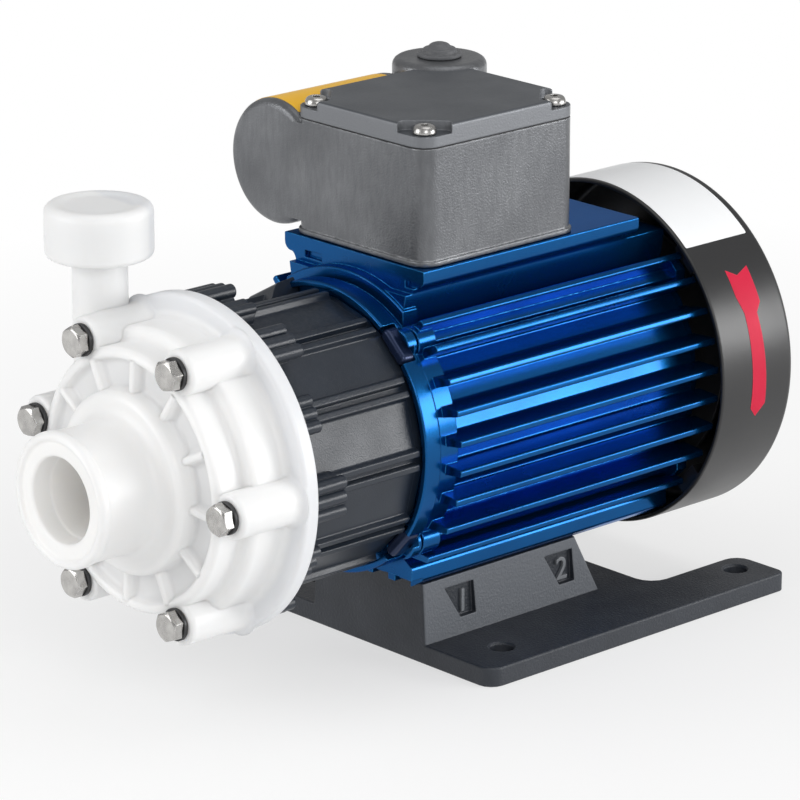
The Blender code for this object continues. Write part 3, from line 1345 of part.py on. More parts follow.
def build_lid(grey, rubber, steel):
    low = BOX_TOP_Z + SEAT_GAP
    outline = rounded(BOX_HALF - SEAT_GAP, BOX_FRONT_Y + SEAT_GAP, BOX_REAR_Y - SEAT_GAP, BOX_CORNER_R)
    gasket = piece("cover_gasket", slab(outline, low, low + GASKET_T, "Z"), rubber, (0, 0, 0))
    inset = 2 * BOX_WALL
    in_half = BOX_HALF - 2 * LID_SCREW_INSET
    low_y = BOX_FRONT_Y + 2 * LID_SCREW_INSET
    high_y = BOX_REAR_Y - 2 * LID_SCREW_INSET
    window = [
        (-in_half, BOX_FRONT_Y + inset),
        (in_half, BOX_FRONT_Y + inset),
        (in_half, low_y),
        (BOX_HALF - inset, low_y),
        (BOX_HALF - inset, high_y),
        (in_half, high_y),
        (in_half, BOX_REAR_Y - inset),
    ]
    # Near the tower the opening keeps one wall's width away from the round.
    clear_r = TOWER_R + FIT_GAP + BOX_WALL
    start = math.asin((BOX_REAR_Y - inset - TOWER_Y) / clear_r)
    end = math.acos((inset - BOX_HALF - TOWER_X) / clear_r) * -1
    for share in CORNER_SHARES:
        turn = start + (end - start) * share
        window.append((TOWER_X + clear_r * math.cos(turn), TOWER_Y + clear_r * math.sin(turn)))
    window += [(inset - BOX_HALF, low_y), (-in_half, low_y)]
    cut(gasket, slab(window, low - EDGE, low + GASKET_T + EDGE, "Z"))
    tower_clear = TOWER_R + FIT_GAP
    cut(gasket, rod(tower_clear, low - EDGE, low + 2 * GASKET_T, MID_N, "Z", TOWER_X, TOWER_Y))
    gasket_holes = []
    for x, y in lid_corners():
        gasket_holes.append(rod(LID_SCREW_R + SEAT_GAP, low - EDGE, low + 2 * GASKET_T, FINE_N, "Z", x, y))
    cut(gasket, joined(gasket_holes))

    lid_low = low + GASKET_T + SEAT_GAP
    lid_top = lid_low + LID_T
    lid_outline = rounded(BOX_HALF, BOX_FRONT_Y, BOX_REAR_Y, BOX_CORNER_R)
    lid = piece("box_cover", slab(lid_outline, lid_low, lid_top, "Z"), grey, (0, 0, 0))
    rim = lid.modifiers.new("rim", "BEVEL")
    rim.width = LID_EDGE
    rim.segments = 1
    rim.limit_method = "ANGLE"
    rim.angle_limit = math.radians(RIM_ANGLE_DEG)
    notches = []
    floor_z = lid_top - NOTCH_DEPTH
    for x, y in lid_corners():
        sx = 1 if x > 0 else -1
        sy = -1 if y < (BOX_FRONT_Y + BOX_REAR_Y) / 2 else 1
        cx = sx * BOX_HALF
        cy = BOX_FRONT_Y if sy < 0 else BOX_REAR_Y
        inward = Vector((-sx, -sy)).normalized()
        across = Vector((-inward.y, inward.x))
        corner = Vector((cx, cy))
        inner = corner + inward * NOTCH_REACH
        outer = corner - inward * EDGE
        spots = [inner + across * NOTCH_HALF, inner - across * NOTCH_HALF]
        spots += [outer - across * NOTCH_HALF, outer + across * NOTCH_HALF]
        notches.append(slab([(spot.x, spot.y) for spot in spots], floor_z, lid_top + EDGE, "Z"))
    cut(lid, joined(notches))
    cut(lid, rod(tower_clear, lid_low - EDGE, lid_top + EDGE, MID_N, "Z", TOWER_X, TOWER_Y))
    lid_holes = []
    for x, y in lid_corners():
        lid_holes.append(rod(LID_SCREW_R + SEAT_GAP, lid_low - EDGE, floor_z + EDGE, FINE_N, "Z", x, y))
    cut(lid, joined(lid_holes))
    under_top = lid_low + LID_T - NOTCH_DEPTH - 2 * EDGE
    cut(lid, slab(window, lid_low - EDGE, under_top, "Z"))

    for i, (x, y) in enumerate(lid_corners()):
        seat = floor_z + SEAT_GAP
        body = [
            (0, LID_SCREW_HEAD_T),
            (LID_SCREW_HEAD_R - 2 * EDGE, LID_SCREW_HEAD_T),
            (LID_SCREW_HEAD_R - EDGE / 2, LID_SCREW_HEAD_T - EDGE),
            (LID_SCREW_HEAD_R, LID_SCREW_HEAD_T / 3),
            (LID_SCREW_HEAD_R, 0),
            (LID_SCREW_R, 0),
            (LID_SCREW_R, -LID_SCREW_LEN),
            (0, -LID_SCREW_LEN),
        ]
        piece(f"cover_screw_{i + 1}", swept_ring(body, SMALL_N, "Z"), steel, (x, y, seat))


def build_gland(rubber):
    seat = TOWER_TOP_Z + SEAT_GAP
    tail_r = TOWER_BORE_R - FIT_GAP
    profile = [
        (0, -GLAND_TAIL),
        (tail_r, -GLAND_TAIL),
        (tail_r, 0),
        (GLAND_R, 0),
        (GLAND_R, GLAND_STEP - EDGE),
        (GLAND_R - EDGE, GLAND_STEP),
        (GLAND_MID_R, GLAND_STEP),
        (GLAND_MID_R, 2 * GLAND_STEP - EDGE),
        (GLAND_MID_R - EDGE, 2 * GLAND_STEP),
        (GLAND_TOP_R, 2 * GLAND_STEP + EDGE),
        (GLAND_TOP_R / 2, 2 * GLAND_STEP + GLAND_TIP - EDGE),
        (0, 2 * GLAND_STEP + GLAND_TIP),
    ]
    piece("cable_grommet", swept_ring(profile, INNER_N, "Z"), rubber, (TOWER_X, TOWER_Y, seat))


def build_inside_box(block_plastic, silver):
    floor_z = BOX_LOW_Z + BOX_WALL + SEAT_GAP
    mid_y = (BOX_FRONT_Y + BOX_REAR_Y) / 2
    low_y = mid_y + WIRE_HOLE_R
    block_box = box(-BLOCK_LEN / 2, BLOCK_LEN / 2, low_y, low_y + BLOCK_W, floor_z, floor_z + BLOCK_H)
    block = piece("terminal_block", block_box, block_plastic, (0, 0, 0))
    studs = []
    for i in range(STUD_COUNT):
        x = (i - (STUD_COUNT - 1) / 2) * BLOCK_LEN / STUD_COUNT
        top = floor_z + BLOCK_H
        studs.append(rod(STUD_R, top - EDGE, top + STUD_H, FINE_N, "Z", x, low_y + BLOCK_W / 2))
    add(block, joined(studs))
    front = CAN_CAP_FRONT_Y
    can = [
        (0, front),
        (CAN_CAP_R - EDGE, front),
        (CAN_CAP_R, front + EDGE),
        (CAN_CAP_R, front + CAN_CAP_LEN),
        (0, front + CAN_CAP_LEN),
    ]
    piece("capacitor", swept_ring(can, MID_N, "Y"), silver, (DRUM_X, 0, DRUM_Z))


def move_to_origin():
    """Puts the middle of the anchor holes over the origin."""
    back = (BASE_HOLE_FRONT_Y + BASE_HOLE_REAR_Y) / 2
    for obj in bpy.context.scene.objects:
        obj.location.y -= back


def main():
    clear_scene()
    white = paint("white_plastic", (0.86, 0.86, 0.87), 0.35, 0.0)
    can_plastic = paint("can_plastic", (0.80, 0.79, 0.75), 0.4, 0.0)
    seal_grey = paint("seal_rubber", (0.03, 0.03, 0.03), 0.7, 0.0)
    steel = paint("bright_steel", (0.72, 0.72, 0.73), 0.25, 1.0)
    dark_steel = paint("dark_steel", (0.06, 0.06, 0.065), 0.5, 0.8)
    slate = paint("slate_plastic", (0.055, 0.065, 0.08), 0.45, 0.0)
    blue = paint("blue_paint", (0.004, 0.03, 0.14), 0.25, 0.6)
    dark = paint("base_paint", (0.035, 0.04, 0.048), 0.6, 0.0)
    black = paint("cover_paint", (0.02, 0.021, 0.023), 0.35, 0.2)
    grey = paint("box_metal", (0.16, 0.165, 0.17), 0.45, 0.5)
    lid_grey = paint("cover_metal", (0.10, 0.11, 0.125), 0.45, 0.4)
    magnet = paint("magnet", (0.18, 0.18, 0.19), 0.35, 0.9)
    carbon = paint("carbon", (0.02, 0.02, 0.022), 0.5, 0.1)
    ceramic = paint("ceramic", (0.85, 0.82, 0.74), 0.2, 0.0)
    lamination = paint("lamination", (0.25, 0.25, 0.26), 0.4, 0.9)
    copper = paint("copper", (0.55, 0.20, 0.08), 0.35, 0.9)
    aluminium = paint("aluminium", (0.6, 0.61, 0.62), 0.35, 1.0)
    brass = paint("brass", (0.6, 0.45, 0.18), 0.35, 1.0)
    fan_plastic = paint("fan_plastic", (0.03, 0.03, 0.032), 0.5, 0.0)
    block_plastic = paint("block_plastic", (0.30, 0.28, 0.24), 0.5, 0.0)

    build_front_casing(white)
    build_cap(white, seal_grey)
    build_casing_bolts(steel, dark_steel)
    build_can(can_plastic, seal_grey, ceramic)
    build_impeller(white, magnet, carbon, ceramic)
    build_bracket(slate)
    build_drive(steel, magnet)
    build_front_shield(blue)
    build_frame(blue)
    build_rear_shield(blue)
    build_tie_bolts(steel)
    build_bearings(steel, brass)
    build_shaft_and_rotor(steel, lamination, aluminium)
    build_stator(lamination, copper)
    build_fan(fan_plastic)
    build_fan_cover(black)
    build_base(dark)
    build_foot_screws(steel)
    build_terminal_box(grey)
    build_lid(lid_grey, seal_grey, steel)
    build_gland(seal_grey)
    build_inside_box(block_plastic, aluminium)
    move_to_origin()


main()
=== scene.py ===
# %% [markdown]
# # A magnetic drive pump
# A white plastic pump end is driven by a finned blue motor. No shaft runs
# through the wet end: magnets on the motor pull round the magnets in the
# impeller, through a closed can. This lesson models the pieces that show, in
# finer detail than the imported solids, and gives every piece its finish.
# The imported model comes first, because each piece has to sit where its solid
# sits and ride on the same body.

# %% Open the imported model
import math

import bmesh
import bpy
from mathutils import Matrix, Vector


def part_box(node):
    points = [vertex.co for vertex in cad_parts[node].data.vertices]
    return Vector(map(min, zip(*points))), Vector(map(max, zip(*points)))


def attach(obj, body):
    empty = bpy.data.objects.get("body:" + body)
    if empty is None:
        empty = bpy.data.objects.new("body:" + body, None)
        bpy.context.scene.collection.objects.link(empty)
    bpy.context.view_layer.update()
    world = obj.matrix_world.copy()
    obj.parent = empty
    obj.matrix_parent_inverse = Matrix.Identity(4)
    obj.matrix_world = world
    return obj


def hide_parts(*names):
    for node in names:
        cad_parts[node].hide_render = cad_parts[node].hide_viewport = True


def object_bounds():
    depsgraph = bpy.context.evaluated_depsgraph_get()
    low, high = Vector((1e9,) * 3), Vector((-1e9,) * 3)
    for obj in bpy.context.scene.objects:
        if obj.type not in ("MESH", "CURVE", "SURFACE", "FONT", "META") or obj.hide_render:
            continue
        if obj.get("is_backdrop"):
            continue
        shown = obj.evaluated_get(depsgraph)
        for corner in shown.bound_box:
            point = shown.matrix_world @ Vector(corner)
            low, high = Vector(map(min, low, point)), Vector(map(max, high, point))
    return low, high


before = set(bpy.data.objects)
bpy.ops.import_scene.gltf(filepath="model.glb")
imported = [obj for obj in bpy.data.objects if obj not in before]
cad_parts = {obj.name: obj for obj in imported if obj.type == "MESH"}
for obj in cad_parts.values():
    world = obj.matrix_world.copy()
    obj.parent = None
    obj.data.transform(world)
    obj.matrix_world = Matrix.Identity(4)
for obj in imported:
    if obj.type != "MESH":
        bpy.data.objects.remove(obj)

cad_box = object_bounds()
for low_high in cad_box:
    print("packed model reaches", [round(value, 4) for value in low_high])

# %% [markdown]
# ## Where the drawing starts
# A pump maker's drawing counts stations along the shaft from one flat face.
# Here that face is the front of the casing bolts' heads, and heights count
# from the shaft's centre line or from the floor. All numbers are in
# millimetres, and one last step turns a piece into metres and puts it in its
# place. That keeps the numbers short and close to the drawing.

# %% The drawing's zero points
MM = 0.001
heads_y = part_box("casing_bolt_1")[0].y
cover_low, cover_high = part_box("fan_cover")
shaft_z = (cover_low.z + cover_high.z) / 2
SHAFT = Vector((0, heads_y, shaft_z))
FLOOR = Vector((0, heads_y, 0))
SHAFT_H = shaft_z / MM
AXES = {"X": Vector((1, 0, 0)), "Y": Vector((0, 1, 0)), "Z": Vector((0, 0, 1))}
NEAR = 0.001
print("shaft height in mm:", round(SHAFT_H, 2))

# %% [markdown]
# ## Tools for turned and pressed shapes
# Most pieces of a pump are turned on a lathe or moulded round an axis, and
# the rest are plates and bars. A turned piece could start from a cylinder,
# but a wire of its section, rounded at the corners and spun a full turn,
# gives every fillet in one go. A plate starts from its outline, which is
# filled, extruded and given round rims.

# %% Wires with round corners
SPOTS = {
    "X": lambda level: (lambda u, v: (level, u, v)),
    "Y": lambda level: (lambda u, v: (u, level, v)),
    "Z": lambda level: (lambda u, v: (u, v, level)),
}


def softened(bm, geom, size, steps=3, **how):
    """Rounds edges, or the corners of a wire."""
    how = {"affect": "EDGES", **how}
    bmesh.ops.bevel(bm, geom=geom, offset=size, offset_type="OFFSET", segments=steps,
                    profile=0.5, material=-1, **how)


def wire(points, spot, closed=True):
    """Joins points (u, v) or (u, v, round) into a wire and rounds its corners."""
    bm = bmesh.new()
    row = [bm.verts.new(spot(point[0], point[1])) for point in points]
    for first, second in zip(row, row[1:]):
        bm.edges.new((first, second))
    if closed:
        bm.edges.new((row[-1], row[0]))
    for size in sorted({point[2] for point in points if len(point) > 2}):
        corners = [v for p, v in zip(points, row) if len(p) > 2 and p[2] == size]
        softened(bm, corners, size, 4, affect="VERTICES")
    return bm

# %% Turned shapes


def turned(points, axis="Y", sides=96, at=(0, 0)):
    """Spins a section of (radius, station) points round the axis through at."""
    on_axis = points[0][0] == 0 and points[-1][0] == 0
    across = "Z" if axis == "Y" else "Y"
    bm = wire(points, SPOTS[across](0), not on_axis)
    bmesh.ops.spin(bm, geom=bm.verts[:] + bm.edges[:], cent=(0, 0, 0), axis=AXES[axis],
                   angle=2 * math.pi, steps=sides, use_merge=True)
    bmesh.ops.remove_doubles(bm, verts=bm.verts[:], dist=NEAR)
    bmesh.ops.recalc_face_normals(bm, faces=bm.faces[:])
    return slid(bm, *SPOTS[axis](0)(*at))


# %% Pushed outlines


def thickened(bm, along):
    """Pulls a sheet along a vector into a closed solid."""
    grown = bmesh.ops.extrude_face_region(bm, geom=bm.faces[:])["geom"]
    moved = [item for item in grown if isinstance(item, bmesh.types.BMVert)]
    bmesh.ops.translate(bm, vec=along, verts=moved)
    bmesh.ops.recalc_face_normals(bm, faces=bm.faces[:])
    return bm


def pulled(bm, along):
    """Fills a wire and pulls it along a vector into a closed solid."""
    bmesh.ops.contextual_create(bm, geom=bm.edges[:])
    return thickened(bm, along)


def pushed(points, low, high, axis="Z", rim=0.0, rims="both", steps=3):
    """Fills an outline, pushes it along the axis and rounds the end rims."""
    bm = pulled(wire(points, SPOTS[axis](low)), AXES[axis] * (high - low))
    if rim:
        levels = {"both": (low, high), "low": (low,), "high": (high,)}[rims]
        along = "XYZ".index(axis)
        edges = [e for e in bm.edges for level in levels
                 if all(abs(v.co[along] - level) < NEAR for v in e.verts)]
        softened(bm, edges, rim, steps, clamp_overlap=True)
    return bm


def bar(radius, low, high, axis="Y", at=(0, 0), rim=0.0, sides=48):
    """A round bar with round rims."""
    section = [(0, low), (radius, low, rim), (radius, high, rim), (0, high)]
    if not rim:
        section = [point[:2] for point in section]
    return turned(section, axis, sides, at)


def block(x, y, z):
    """A box given by its (low, high) pairs."""
    bm = bmesh.new()
    bmesh.ops.create_cube(bm, size=1)
    bmesh.ops.scale(bm, vec=[high - low for low, high in (x, y, z)], verts=bm.verts[:])
    return slid(bm, *[(low + high) / 2 for low, high in (x, y, z)])

# %% Moving, turning and copying
def slid(bm, x, y, z):
    """Moves a shape."""
    bmesh.ops.translate(bm, vec=Vector((x, y, z)), verts=bm.verts[:])
    return bm


def spun(bm, degrees, axis="Y"):
    """Turns a shape; round the shaft, positive goes from +X toward +Z."""
    sign = -1 if axis == "Y" else 1
    turn = Matrix.Rotation(sign * math.radians(degrees), 4, axis)
    bmesh.ops.transform(bm, matrix=turn, verts=bm.verts[:])
    return bm


def on_circle(radius, degrees):
    """The (x, z) of a spot round the shaft."""
    turn = math.radians(degrees)
    return radius * math.cos(turn), radius * math.sin(turn)


def copies(maker, angles):
    """One shape at each angle round the shaft, joined as they are."""
    whole = bmesh.new()
    for angle in angles:
        kept = bpy.data.meshes.new("kept")
        shape = spun(maker(), angle)
        shape.to_mesh(kept)
        shape.free()
        whole.from_mesh(kept)
        bpy.data.meshes.remove(kept)
    return whole

# %% [markdown]
# ## Cutting and welding
# A casting has bosses that grow out of it and holes that are drilled through
# it. The Boolean modifier does both, and its result is kept as a plain mesh.
# The manifold solver is quick and clean on closed shapes, so each shape is
# closed before it comes here.

# %% The Boolean helper
def linked(name, data):
    """Puts an object with this data in the scene."""
    thing = bpy.data.objects.new(name, data)
    bpy.context.scene.collection.objects.link(thing)
    return thing


def frozen(thing):
    """The mesh of an object with its modifiers worked out."""
    bpy.context.view_layer.update()
    graph = bpy.context.evaluated_depsgraph_get()
    return bpy.data.meshes.new_from_object(thing.evaluated_get(graph))


def opened(mesh):
    """Takes a mesh over for editing and lets it go."""
    bm = bmesh.new()
    bm.from_mesh(mesh)
    bpy.data.meshes.remove(mesh)
    return bm


def shaped(body, tool, way):
    """Cuts the tool from the body, welds it on, or keeps what they share."""
    pair = []
    for shape in (body, tool):
        mesh = bpy.data.meshes.new("half")
        shape.to_mesh(mesh)
        shape.free()
        pair.append(linked("half", mesh))
    step = pair[0].modifiers.new("step", "BOOLEAN")
    step.operation = way
    step.solver = "MANIFOLD"
    step.object = pair[1]
    made = opened(frozen(pair[0]))
    for thing in pair:
        mesh = thing.data
        bpy.data.objects.remove(thing)
        bpy.data.meshes.remove(mesh)
    if not made.faces:
        raise ValueError("a cut or weld left nothing")
    return made


def cut(body, *tools):
    """Takes each tool out of the body."""
    for tool in tools:
        body = shaped(body, tool, "DIFFERENCE")
    return body


def weld(body, *tools):
    """Joins each tool to the body."""
    for tool in tools:
        body = shaped(body, tool, "UNION")
    return body

# %% The same cut or weld all round


def each(way, body, maker, angles):
    """Cuts or welds one shape at each angle round the shaft."""
    for angle in angles:
        body = way(body, spun(maker(), angle))
    return body


# %% [markdown]
# ## Putting a piece in its place
# The last step gives a mesh its smooth and sharp edges, its finish and its
# body. The object stays at the origin and its place is in the mesh, as the
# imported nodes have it, so a pattern on Object coordinates stays put when the
# piece turns with its body.

# %% The placing helper
SHARP_DEG = 32
pieces_made = {}
looks = {}


def even_out(piece):
    """Lets large faces set the shading, so that flats stay flat between fillets."""
    step = piece.modifiers.new("face_weighted", "WEIGHTED_NORMAL")
    step.keep_sharp = True
    even = frozen(piece)
    piece.modifiers.clear()
    rough_mesh, piece.data = piece.data, even
    bpy.data.meshes.remove(rough_mesh)
    even.name = piece.name


def placed(name, bm, look, stands_for=(), zero=SHAFT, body="housing"):
    """Makes the named piece in metres and hangs it on its body."""
    bmesh.ops.remove_doubles(bm, verts=bm.verts[:], dist=NEAR)
    move = Matrix.Translation(zero) @ Matrix.Scale(MM, 4)
    bmesh.ops.transform(bm, matrix=move, verts=bm.verts[:])
    mesh = bpy.data.meshes.new(name)
    bm.to_mesh(mesh)
    bm.free()
    mesh.shade_smooth()
    mesh.set_sharp_from_angle(angle=math.radians(SHARP_DEG))
    mesh.materials.append(looks[look])
    piece = linked(name, mesh)
    even_out(piece)
    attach(piece, body)
    if stands_for:
        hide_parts(*stands_for)
    piece.data.calc_loop_triangles()
    pieces_made[name] = len(piece.data.loop_triangles)
    print(name, pieces_made[name], "triangles")

# %% [markdown]
# ## Shared surface effects
# Real finishes are never one flat colour. Moulded plastic is faintly cloudy,
# paint thins at the edges, and dust settles on what faces up. The same edge mask
# also lays painted highlights along the edges of some finishes. Each such
# effect is a node group with named inputs, built once and set to its own
# strength in each finish.

# %% Node helpers
def node(tree, kind, inputs=(), **settings):
    """Adds a node; each input is a socket to link or a value to set."""
    made = tree.nodes.new("ShaderNode" + kind)
    for label, value in settings.items():
        setattr(made, label, value)
    for label, value in dict(inputs).items():
        if isinstance(value, bpy.types.NodeSocket):
            tree.links.new(value, made.inputs[label])
        else:
            made.inputs[label].default_value = value
    return made


def new_group(name, inputs, outputs):
    """A shader group with named sockets; returns it with its two ends."""
    group = bpy.data.node_groups.new(name, "ShaderNodeTree")
    for label, kind, value in inputs:
        socket = group.interface.new_socket(name=label, in_out="INPUT", socket_type=kind)
        if value is not None:
            socket.default_value = value
    for label in outputs:
        group.interface.new_socket(name=label, in_out="OUTPUT", socket_type="NodeSocketFloat")
    return group, group.nodes.new("NodeGroupInput"), group.nodes.new("NodeGroupOutput")


def sums(tree, operation, first, second=0.0):
    """A Math node on two sockets or numbers."""
    return node(tree, "Math", {0: first, 1: second}, operation=operation).outputs[0]


def times(tree, first, second):
    """One socket or number times another."""
    return sums(tree, "MULTIPLY", first, second)


def spread(tree, value, low, high, to_low=0.0, to_high=1.0):
    """A Map Range node that clamps."""
    ends = {"Value": value, "From Min": low, "From Max": high, "To Min": to_low,
            "To Max": to_high}
    return node(tree, "MapRange", ends).outputs["Result"]


def noise(tree, where, scale, detail=3.0, roughness=0.55):
    """A Noise texture."""
    inputs = {"Vector": where, "Scale": scale, "Detail": detail, "Roughness": roughness}
    return node(tree, "TexNoise", inputs).outputs["Fac"]


def three(tree, vector):
    """The X, Y and Z of a vector."""
    return node(tree, "SeparateXYZ", {0: vector}).outputs


def facing(tree):
    """The X, Y and Z of the way that a surface faces."""
    return three(tree, node(tree, "NewGeometry").outputs["Normal"])


def distance(tree, first, second):
    """How far a spot at (first, second) is from the centre."""
    squares = [sums(tree, "POWER", value, 2.0) for value in (first, second)]
    return sums(tree, "SQRT", sums(tree, "ADD", *squares))

# %% Edge wear, whose mask also lays painted edge highlights
F, V = "NodeSocketFloat", "NodeSocketVector"
edge_wear_and_sheen, ends_in, ends_out = new_group(
    "edge_wear_and_sheen", [("Width", F, 0.0006), ("Where", V, None), ("Breakup", F, 400.0)], ["Mask"])
rounded = node(edge_wear_and_sheen, "Bevel", {"Radius": ends_in.outputs["Width"]}, samples=6)
flat = node(edge_wear_and_sheen, "NewGeometry")
along = node(edge_wear_and_sheen, "VectorMath", {0: rounded.outputs["Normal"], 1: flat.outputs["Normal"]},
             operation="DOT_PRODUCT")
bend = spread(edge_wear_and_sheen, along.outputs["Value"], 0.995, 0.9)
patch = noise(edge_wear_and_sheen, ends_in.outputs["Where"], ends_in.outputs["Breakup"], 2.0, 0.5)
broken = spread(edge_wear_and_sheen, patch, 0.35, 0.62)
edge_wear_and_sheen.links.new(times(edge_wear_and_sheen, bend, broken), ends_out.inputs["Mask"])
print("group", edge_wear_and_sheen.name, "with", len(edge_wear_and_sheen.nodes), "nodes")

# %% Cloudiness, grain and settled dust
cloudy, ends_in, ends_out = new_group(
    "cloudy", [("Where", V, None), ("Cloud size", F, 40.0), ("Grain size", F, 1500.0)],
    ["Clouds", "Grain"])
for label, size, low, high in (("Clouds", "Cloud size", 0.3, 0.7),
                               ("Grain", "Grain size", 0.25, 0.75)):
    patch = noise(cloudy, ends_in.outputs["Where"], ends_in.outputs[size], 4.0, 0.5)
    cloudy.links.new(spread(cloudy, patch, low, high), ends_out.inputs[label])

settled, ends_in, ends_out = new_group(
    "settled_dust", [("Where", V, None), ("Amount", F, 0.2)], ["Mask"])
upward = spread(settled, facing(settled)["Z"], 0.6, 1.0)
specks = spread(settled, noise(settled, ends_in.outputs["Where"], 700.0, 5.0), 0.45, 0.7)
layer = times(settled, upward, specks)
settled.links.new(times(settled, layer, ends_in.outputs["Amount"]),
                  ends_out.inputs["Mask"])
print("groups", cloudy.name, "and", settled.name)

# %% [markdown]
# ## Building a finish
# Every finish has the same bones: a base colour with a second one in the
# clouds, a worn colour at the edges that on some finishes is a painted
# highlight, a little dust, roughness that varies with the clouds, and a fine
# grain as bump. The bump stands on a normal that the Bevel node has rounded,
# so that a corner between two welded shapes catches the light as a moulded
# fillet does.

# %% The finish maker
DUST = (0.45, 0.44, 0.42)


def mixed(tree, mask, first, second):
    """Mixes two colours, each a socket or an (r, g, b)."""
    first, second = [(*value, 1.0) if isinstance(value, tuple) else value
                     for value in (first, second)]
    inputs = {"Factor": mask, "A": first, "B": second}
    return node(tree, "Mix", inputs, data_type="RGBA").outputs["Result"]


def finish(name, colour, cloud, rough, metal=0.0, worn_and_sheen=None, wear=0.5, width=0.0005,
           cloud_size=40.0, grain_size=1500.0, grain=0.05, depth=0.0001, dust=0.0,
           fillet=0.0006, rough_span=0.08, **constants):
    """Keeps a material under its name; returns its working parts for more painting."""
    made = bpy.data.materials.new(name)
    made.use_nodes = True
    tree = made.node_tree
    shader = tree.nodes["Principled BSDF"]
    where = node(tree, "TexCoord").outputs["Object"]
    base = node(tree, "Group", node_tree=cloudy, inputs={
        "Where": where, "Cloud size": cloud_size, "Grain size": grain_size})
    tint = mixed(tree, base.outputs["Clouds"], colour, cloud)
    if worn_and_sheen:
        edges = node(tree, "Group", {"Where": where, "Width": width}, node_tree=edge_wear_and_sheen)
        tint = mixed(tree, times(tree, edges.outputs["Mask"], wear), tint, worn_and_sheen)
    if dust:
        film = node(tree, "Group", {"Where": where, "Amount": dust}, node_tree=settled)
        tint = mixed(tree, film.outputs["Mask"], tint, DUST)
    tree.links.new(tint, shader.inputs["Base Color"])
    gloss = spread(tree, base.outputs["Clouds"], 0.0, 1.0, rough - rough_span / 2,
                   rough + rough_span / 2)
    tree.links.new(gloss, shader.inputs["Roughness"])
    shader.inputs["Metallic"].default_value = metal
    for label, value in constants.items():
        shader.inputs[label.replace("_", " ")].default_value = value
    relief = {"Strength": grain, "Distance": depth, "Height": base.outputs["Grain"]}
    if fillet:
        relief["Normal"] = node(tree, "Bevel", {"Radius": fillet}, samples=6).outputs["Normal"]
    bump = node(tree, "Bump", relief)
    tree.links.new(bump.outputs["Normal"], shader.inputs["Normal"])
    looks[name] = made
    print("finish", name)
    return {"tree": tree, "shader": shader, "where": where, "tint": tint, "bump": bump}


def painted(parts, mask, tone):
    """Lays another tone over a finish where the mask is."""
    tree = parts["tree"]
    parts["tint"] = mixed(tree, mask, parts["tint"], tone)
    tree.links.new(parts["tint"], parts["shader"].inputs["Base Color"])

# %% [markdown]
# ## The finishes of this pump
# The wet end is moulded in a white plastic that lets a little light in, and
# that light is painted in as a lighter, warm glow down the bore. The lantern is
# slate grey moulding, the motor is deep blue metallic enamel under a clear coat,
# the box is die-cast and satin, and the foot plate has a coarse powder coat.
# Most colours are written as they look in even light, and the painted light
# and shade are named where they are laid on.

# %% White moulding with painted shade on its panels and rim, and a painted glow in the bore
parts = finish(
    "white_moulding", (0.87, 0.868, 0.862), (0.84, 0.84, 0.838), 0.38, cloud_size=22.0,
    grain_size=900.0, depth=0.00008, fillet=0.0015, worn_and_sheen=(0.92, 0.92, 0.92),
    wear=0.3, Subsurface_Weight=0.3, Subsurface_Scale=0.010,
    Subsurface_Radius=(1.0, 0.92, 0.85))
tree = parts["tree"]
x, y, z = three(tree, parts["where"])
radius = distance(tree, x, sums(tree, "SUBTRACT", z, shaft_z))
panels = times(tree, spread(tree, radius, 0.0322, 0.0336), spread(tree, radius, 0.0445, 0.0430))
sunken = times(tree, spread(tree, y, heads_y + 0.0066, heads_y + 0.0082),
               spread(tree, y, heads_y + 0.0110, heads_y + 0.0100))
# Painted shade: the sunken panels between the ribs are painted a darker grey, for the shade in these
# recesses.
panel_shade = times(tree, times(tree, panels, sunken), 0.6)
painted(parts, panel_shade, (0.72, 0.72, 0.725))
# Painted shade: the rim of the flange disc is painted a cooler, darker grey.
rear = spread(tree, y, heads_y + 0.0300, heads_y + 0.0325)
disc = times(tree, spread(tree, radius, 0.0530, 0.0560), rear)
painted(parts, disc, (0.76, 0.77, 0.79))
# Painted light: the bore and, more faintly, the nozzle's inner face are painted a lighter, warmer
# white, a painted glow for the light that comes through the wall.
deep = spread(tree, y, heads_y - 0.0182, heads_y - 0.0172)
bore_glow = times(tree, spread(tree, radius, 0.0166, 0.0150), deep)
lip_glow = times(tree, spread(tree, radius, 0.0219, 0.0212), 0.35)
painted(parts, sums(tree, "MAXIMUM", bore_glow, lip_glow), (0.97, 0.955, 0.93))

# %% Other plastics and rubber
finish(
    "slate_moulding", (0.016, 0.022, 0.033), (0.010, 0.015, 0.024), 0.33,
    worn_and_sheen=(0.17, 0.19, 0.22), wear=0.4, cloud_size=60.0, grain_size=1800.0, grain=0.3,
    depth=0.00014, dust=0.04, fillet=0.0004)
finish(
    "plug_rubber", (0.105, 0.108, 0.115), (0.08, 0.083, 0.09), 0.55, worn_and_sheen=(0.2, 0.2, 0.21),
    wear=0.4, grain_size=1300.0, grain=0.15, dust=0.1)
finish(
    "seal_rubber", (0.028, 0.028, 0.030), (0.02, 0.02, 0.021), 0.62,
    grain=0.2, worn_and_sheen=(0.08, 0.08, 0.08), wear=0.4)
finish(
    "can_moulding", (0.72, 0.69, 0.60), (0.66, 0.63, 0.54), 0.38, worn_and_sheen=(0.8, 0.78, 0.7),
    wear=0.3, cloud_size=60.0, Subsurface_Weight=0.1)
finish(
    "fan_moulding", (0.030, 0.031, 0.034), (0.022, 0.023, 0.025), 0.45,
    worn_and_sheen=(0.09, 0.09, 0.1), wear=0.4, grain=0.12, dust=0.1)
finish(
    "block_moulding", (0.34, 0.31, 0.26), (0.28, 0.25, 0.21), 0.5, worn_and_sheen=(0.5, 0.47, 0.4),
    wear=0.3, grain=0.1)

